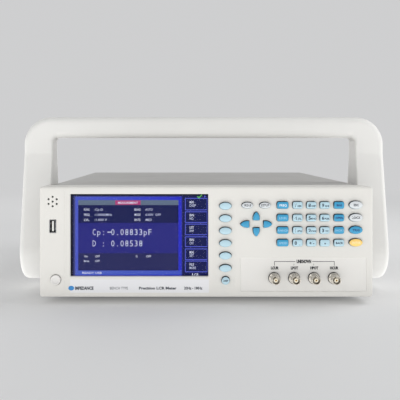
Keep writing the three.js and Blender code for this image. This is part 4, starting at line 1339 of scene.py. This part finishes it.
x, height = USB_B
USB_B_OPENING = [(2.6, 3.8), (-2.6, 3.8), (-4.2, 2.2), (-4.2, -3.8), (4.2, -3.8), (4.2, 2.2)]
block(about(x, 6), (380, 393.5), (BOARD_TOP, height + 5.4), .3, NICKEL)
connector(rounded_rect(x, height, 12, 11, .5, 3),
          [(x + side, height + up) for side, up in USB_B_OPENING], 400, 391.3, 391)
body.box(about(x, 2.6), (391.2, 398.5), about(height, 1.5), .3, BLACK)
for side in (-1.3, 1.3):
    for up in (1.55, -1.55):
        contact(about(x + side, .4), (392, 398.0), about(height + up, .12))
make("main_board_piece", body, [BOARD, ZINC, CHIP, NICKEL, GOLD, BLACK],
     replaces=("main_board",), angle=30, weighted=False)

body = Body()                                       # jack screws of the sub-D connectors
for (centre_x, height), half in ((DSUB36, 33.0), (DSUB9, 12.5)):
    for side in (-1, 1):
        x = centre_x + side * half
        body.plate(oval(x, height, 5.8, 5.8, 6), [oval(x, height, 2.6, 2.6, 20)], 398.05, 403.0,
                   .25)
make("connector_jackscrews", body, [NICKEL], angle=30)

# ==================================================================== feet
FOOT_PROFILE = [(0, .8), (11.9, .8), (12.8, .3), (13.0, -.6), (12.6, -3.4), (11.9, -6.6),
                (11.5, -7.5), (10.9, -8.0), (7.2, -8.0), (6.8, -7.7), (6.6, -5.2), (0, -5.0)]
for node in ("front_foot_bar", "rear_foot_bar"):
    _, depth, _ = middle(node)
    body = Body()
    body.slab(rounded_rect(0, depth, 300, 26, 2.0, 5), .6, 3.7, .5, "black_steel")
    for x in (-135, 135):
        body.lathe(FOOT_PROFILE, (x, depth, 0), "z", 56)
        screw(body, (x, depth, -5.0), "z", -1, 4.0, 1.6, "screw_steel")
    make(f"{node}_piece", body, ["foot_rubber", "black_steel", "screw_steel"],
         replaces=(node,), angle=35)

# ================================================================== handle
# A U that stands up from its hubs: y and z below are depth and height from the hub axis.
_, AXIS_DEPTH, AXIS_H = middle("handle_hub_right")
HUB_R, ARM_HALF, ARM_TOP = 38.0, 15.0, 118
ARM_IN, ARM_OUT = 187.5, 223.5                      # x of the arm's inner and outer faces
BAR_IN, BAR_OUT = 138.0, 164.0                      # z of the cross bar's inner and outer faces
BEND_IN, BEND_OUT = 6, 34                           # bend radii between arm and bar
EDGE_OUT, EDGE_IN, BAR_EDGE = 7.0, 2.5, 9.0         # edge radii of the arm and of the bar
BLEND_START, BLEND_LENGTH = 112, 8                  # where the taper eases into the straight
LEAN = math.asin((HUB_R - ARM_HALF) / ARM_TOP)
COS_LEAN, SIN_LEAN = math.cos(LEAN), math.sin(LEAN)
TANGENT_Z = HUB_R * SIN_LEAN                        # where the tapered sides leave the hub


def half_width(z):
    if z < TANGENT_Z:
        return math.sqrt(max(0.0, HUB_R * HUB_R - z * z))
    if z < ARM_TOP:
        start = HUB_R * COS_LEAN
        return start + (ARM_HALF - start) * (z - TANGENT_Z) / (ARM_TOP - TANGENT_Z)
    return ARM_HALF


def edge_gap(y, z):
    """Distance from a point on the arm's face to the arm's edge."""
    y = abs(y)
    taper = HUB_R - (y * COS_LEAN + z * SIN_LEAN)
    if z > BLEND_START:
        blend = min(1.0, (z - BLEND_START) / BLEND_LENGTH)
        gap = taper if z < ARM_TOP else ARM_HALF - y
        return gap * (1 - blend) + (ARM_HALF - y) * blend
    if -y * SIN_LEAN + z * COS_LEAN >= 0:
        return taper
    return HUB_R - math.hypot(y, z)


def section(x, z, out_x, out_z, thick, half, arm_z, outer_radius, inner_radius):
    """One ring of the handle round (x, z). (out_x, out_z) points from the inside of the U to
    its outside; arm_z is the z used for the arm's edges, or None past the arm."""
    margin = min(outer_radius, half)
    ys = [half - margin * (1 - math.cos(k / 7 * math.pi / 2)) for k in range(8)]
    inner = half - margin
    ys += [inner * .5, 0.0, -inner * .5] + [-y for y in reversed(ys)]

    def reach(y, radius):
        gap = half - abs(y) if arm_z is None else edge_gap(y, arm_z)
        gap = max(0.0, min(gap, radius))
        return thick / 2 - (radius - math.sqrt(max(0.0, radius * radius - (radius - gap) ** 2)))

    def point(out, y):
        return x + out_x * out, AXIS_DEPTH + y, AXIS_H + z + out_z * out

    flat = thick / 2 - outer_radius
    return ([point(reach(y, outer_radius), y) for y in ys]
            + [point(flat * share, -half) for share in (.5, 0, -.5)]
            + [point(-reach(y, inner_radius), y) for y in reversed(ys)]
            + [point(flat * share, half) for share in (-.5, 0, .5)])


zs = [-HUB_R * math.cos(k / 30 * math.pi / 2) for k in range(31)] + [TANGENT_Z * .5, TANGENT_Z]
zs += [TANGENT_Z + (ARM_TOP - TANGENT_Z) * k / 12 for k in range(1, 12)]
zs += [112, 114, 116, ARM_TOP, 120, 124, 128]
chain = [section((ARM_IN + ARM_OUT) / 2, z, 1, 0, ARM_OUT - ARM_IN, half_width(z), z, EDGE_OUT,
                 EDGE_IN)
         for z in sorted(set(round(z, 4) for z in zs))]
for k in range(19):                                 # bend from the arm to the bar
    share = k / 18
    cos, sin = math.cos(share * math.pi / 2), math.sin(share * math.pi / 2)
    inner_x, inner_z = ARM_IN - BEND_IN + BEND_IN * cos, BAR_IN - BEND_IN + BEND_IN * sin
    outer_x, outer_z = ARM_OUT - BEND_OUT + BEND_OUT * cos, BAR_OUT - BEND_OUT + BEND_OUT * sin
    thick = math.hypot(outer_x - inner_x, outer_z - inner_z)
    chain.append(section((inner_x + outer_x) / 2, (inner_z + outer_z) / 2,
                         (outer_x - inner_x) / thick, (outer_z - inner_z) / thick, thick,
                         ARM_HALF, None, EDGE_OUT + (BAR_EDGE - EDGE_OUT) * share,
                         EDGE_IN + (BAR_EDGE - EDGE_IN) * share))
for x in (150, 110, 70, 68.5, 67.6, 40, 0):
    chain.append(section(x, (BAR_IN + BAR_OUT) / 2, 0, 1, BAR_OUT - BAR_IN, ARM_HALF, None,
                         BAR_EDGE, BAR_EDGE))
chain += [[(-x, depth, height) for x, depth, height in ring] for ring in reversed(chain[:-1])]
body = Body()
body.stack([body.place(ring) for ring in chain])
handle = make("handle_shell", body, ["handle_plastic"], "handle",
              ("carry_handle",), angle=50, weighted=False)

AXIS = (0, AXIS_DEPTH, AXIS_H)
tool = Body()
for side in (1, -1):
    # bore for the hub; ring groove and centre recess on the outside
    for profile, steps in (
            ([(0, 186.9), (10.6, 186.9), (10.6, 203.6), (0, 203.6)], 64),
            ([(23.0, 225), (23.0, 222.5), (24.2, 222.5), (24.2, 225), (23.0, 225)], 96),
            ([(0, 225), (8.5, 225), (8.5, 220.9), (0, 220.9)], 64)):
        tool.lathe(mirrored(profile, side), AXIS, "x", steps)
cut(handle, tool, "handle_plastic")

body = Body()                                       # pivot screws in the centre recesses
for side in (1, -1):
    screw(body, (side * 220.9, AXIS_DEPTH, AXIS_H), "x", side, 5.2, 2.0)
    body.lathe(mirrored([(0, 220.8), (7.6, 220.8), (7.6, 221.35), (0, 221.35)], side), AXIS, "x",
               40)
make("handle_pivot_screws", body, ["screw_steel"], "handle", angle=35)

HUB_PROFILE = [(0, 181.8), (31.4, 181.8), (32, 182.4), (32, 186.2), (31.2, 187.0), (24, 187.0),
               (23.6, 186.6), (20, 186.6), (19.6, 187.0), (10, 187.0), (10, 202.2), (9.2, 203.0),
               (0, 203.0)]
for side, node in ((-1, "handle_hub_left"), (1, "handle_hub_right")):
    body = Body()
    body.lathe(mirrored(HUB_PROFILE, side), AXIS, "x", 96)
    make(f"{node}_piece", body, ["hub_plastic"], replaces=(node,), angle=35)

# ======================================= floor, light and camera, in metres
BACKDROP = (.62, .622, .628, 1)


def floor_paper():
    """Paper that fades into the backdrop. To other rays it is a lit table that sends light up
    to the instrument, except from underneath it."""
    tree, bsdf = new_material("floor_paper")
    grey = mixed(tree, ranged(tree, noise(tree, 3, 3, .5), .3, .7, 0, 1), (.87, .87, .87, 1),
                 (.89, .89, .89, 1))
    connect(tree, bsdf, {"Base Color": grey, "Roughness": .9, "Specular IOR Level": .2})
    distance = add_node(tree, "VectorMath", {0: coordinates(tree)}, operation="LENGTH")
    fade = ranged(tree, distance.outputs["Value"], .45, 1.9, .18, 1,
                  interpolation_type="SMOOTHERSTEP")
    backdrop = add_node(tree, "Emission", {"Color": BACKDROP})
    paper = add_node(tree, "MixShader", {0: fade, 1: bsdf.outputs[0], 2: backdrop.outputs[0]})
    axes = add_node(tree, "SeparateXYZ", {0: coordinates(tree)})
    # distance outside the instrument's footprint, each way
    gaps = [maths(tree, "SUBTRACT", maths(tree, "ABSOLUTE", axes.outputs[axis]), half)
            for axis, half in (("X", .18), ("Y", .19))]
    strength = ranged(tree, maths(tree, "MAXIMUM", *gaps), -.02, .06, .12, 1.60)
    lit = add_node(tree, "Emission", {"Color": (.985, .985, .98, 1), "Strength": strength})
    connect(tree, tree.nodes["Material Output"],
            {"Surface": camera_split(tree, lit.outputs[0], paper.outputs[0])})


floor_paper()
mesh = bpy.data.meshes.new("floor")
mesh.from_pydata([(-20, -20, 0), (20, -20, 0), (20, 20, 0), (-20, 20, 0)], [], [(0, 1, 2, 3)])
mesh.materials.append(MATERIALS["floor_paper"])
floor = link(bpy.data.objects.new("floor", mesh))
# outer edge of the cross bar: the floor gives way to it
low_point = link(bpy.data.objects.new("handle_low_point", None))
low_point.location = world_point(0, AXIS_DEPTH - 13.5, AXIS_H + 162.5)
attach(low_point, "handle")
follow = floor.constraints.new("COPY_LOCATION")
follow.target, follow.use_x, follow.use_y = low_point, False, False
stop = floor.constraints.new("LIMIT_LOCATION")
stop.use_max_z, stop.max_z = True, 0


def lamp(name, at, target, size, watts, colour=(1, 1, 1)):
    light = bpy.data.lights.new(name, "AREA")
    light.energy, light.color, light.shape = watts, colour, "RECTANGLE"
    light.size, light.size_y = size
    ob = link(bpy.data.objects.new(name, light))
    ob.location = at
    ob.rotation_mode = "QUATERNION"
    ob.rotation_quaternion = (Vector(target) - Vector(at)).to_track_quat("-Z", "Y")


lamp("key", at=(-.80, -1.30, .80), target=(0, -.15, .07), size=(.40, .35), watts=1.5,
     colour=(1, .99, .975))
lamp("fill", at=(1.20, -1.20, .35), target=(0, -.1, .07), size=(1.1, .6), watts=.15)
lamp("side", at=(1.45, .30, .55), target=(-.1, .10, .16), size=(.9, .6), watts=1.2)
lamp("top", at=(.95, .0, 1.05), target=(-.15, -.05, .15), size=(.8, .8), watts=5.5)
lamp("back", at=(-.9, 1.3, .9), target=(0, .2, .1), size=(1.0, .8), watts=3.4)

# Sky that dims with height; the camera sees the backdrop instead.
world = bpy.data.worlds.new("studio")
world.use_nodes = True
tree = world.node_tree
sky = tree.nodes["Background"]
direction = add_node(tree, "TexCoord").outputs["Generated"]
axes = add_node(tree, "SeparateXYZ", {0: direction})
connect(tree, sky, {"Color": (.955, .965, .975, 1),
                    "Strength": ranged(tree, axes.outputs["Z"], .10, .75, .61, .50)})
backdrop = add_node(tree, "Background", {"Color": BACKDROP, "Strength": 1.0})
connect(tree, tree.nodes["World Output"],
        {"Surface": camera_split(tree, sky.outputs[0], backdrop.outputs[0])})
bpy.context.scene.world = world

camera_data = bpy.data.cameras.new("camera")
camera_data.sensor_width, camera_data.lens = 36.0, 55.13
camera_data.shift_x, camera_data.shift_y = .0425, -.1325
camera_data.clip_start, camera_data.clip_end = .01, 50
camera = link(bpy.data.objects.new("camera", camera_data))
camera.location = (-.0258, FRONT_Y - .680, .1746)
camera.rotation_euler = (math.pi / 2, 0, 0)
bpy.context.scene.camera = camera
bpy.context.scene.view_settings.view_transform = "Standard"
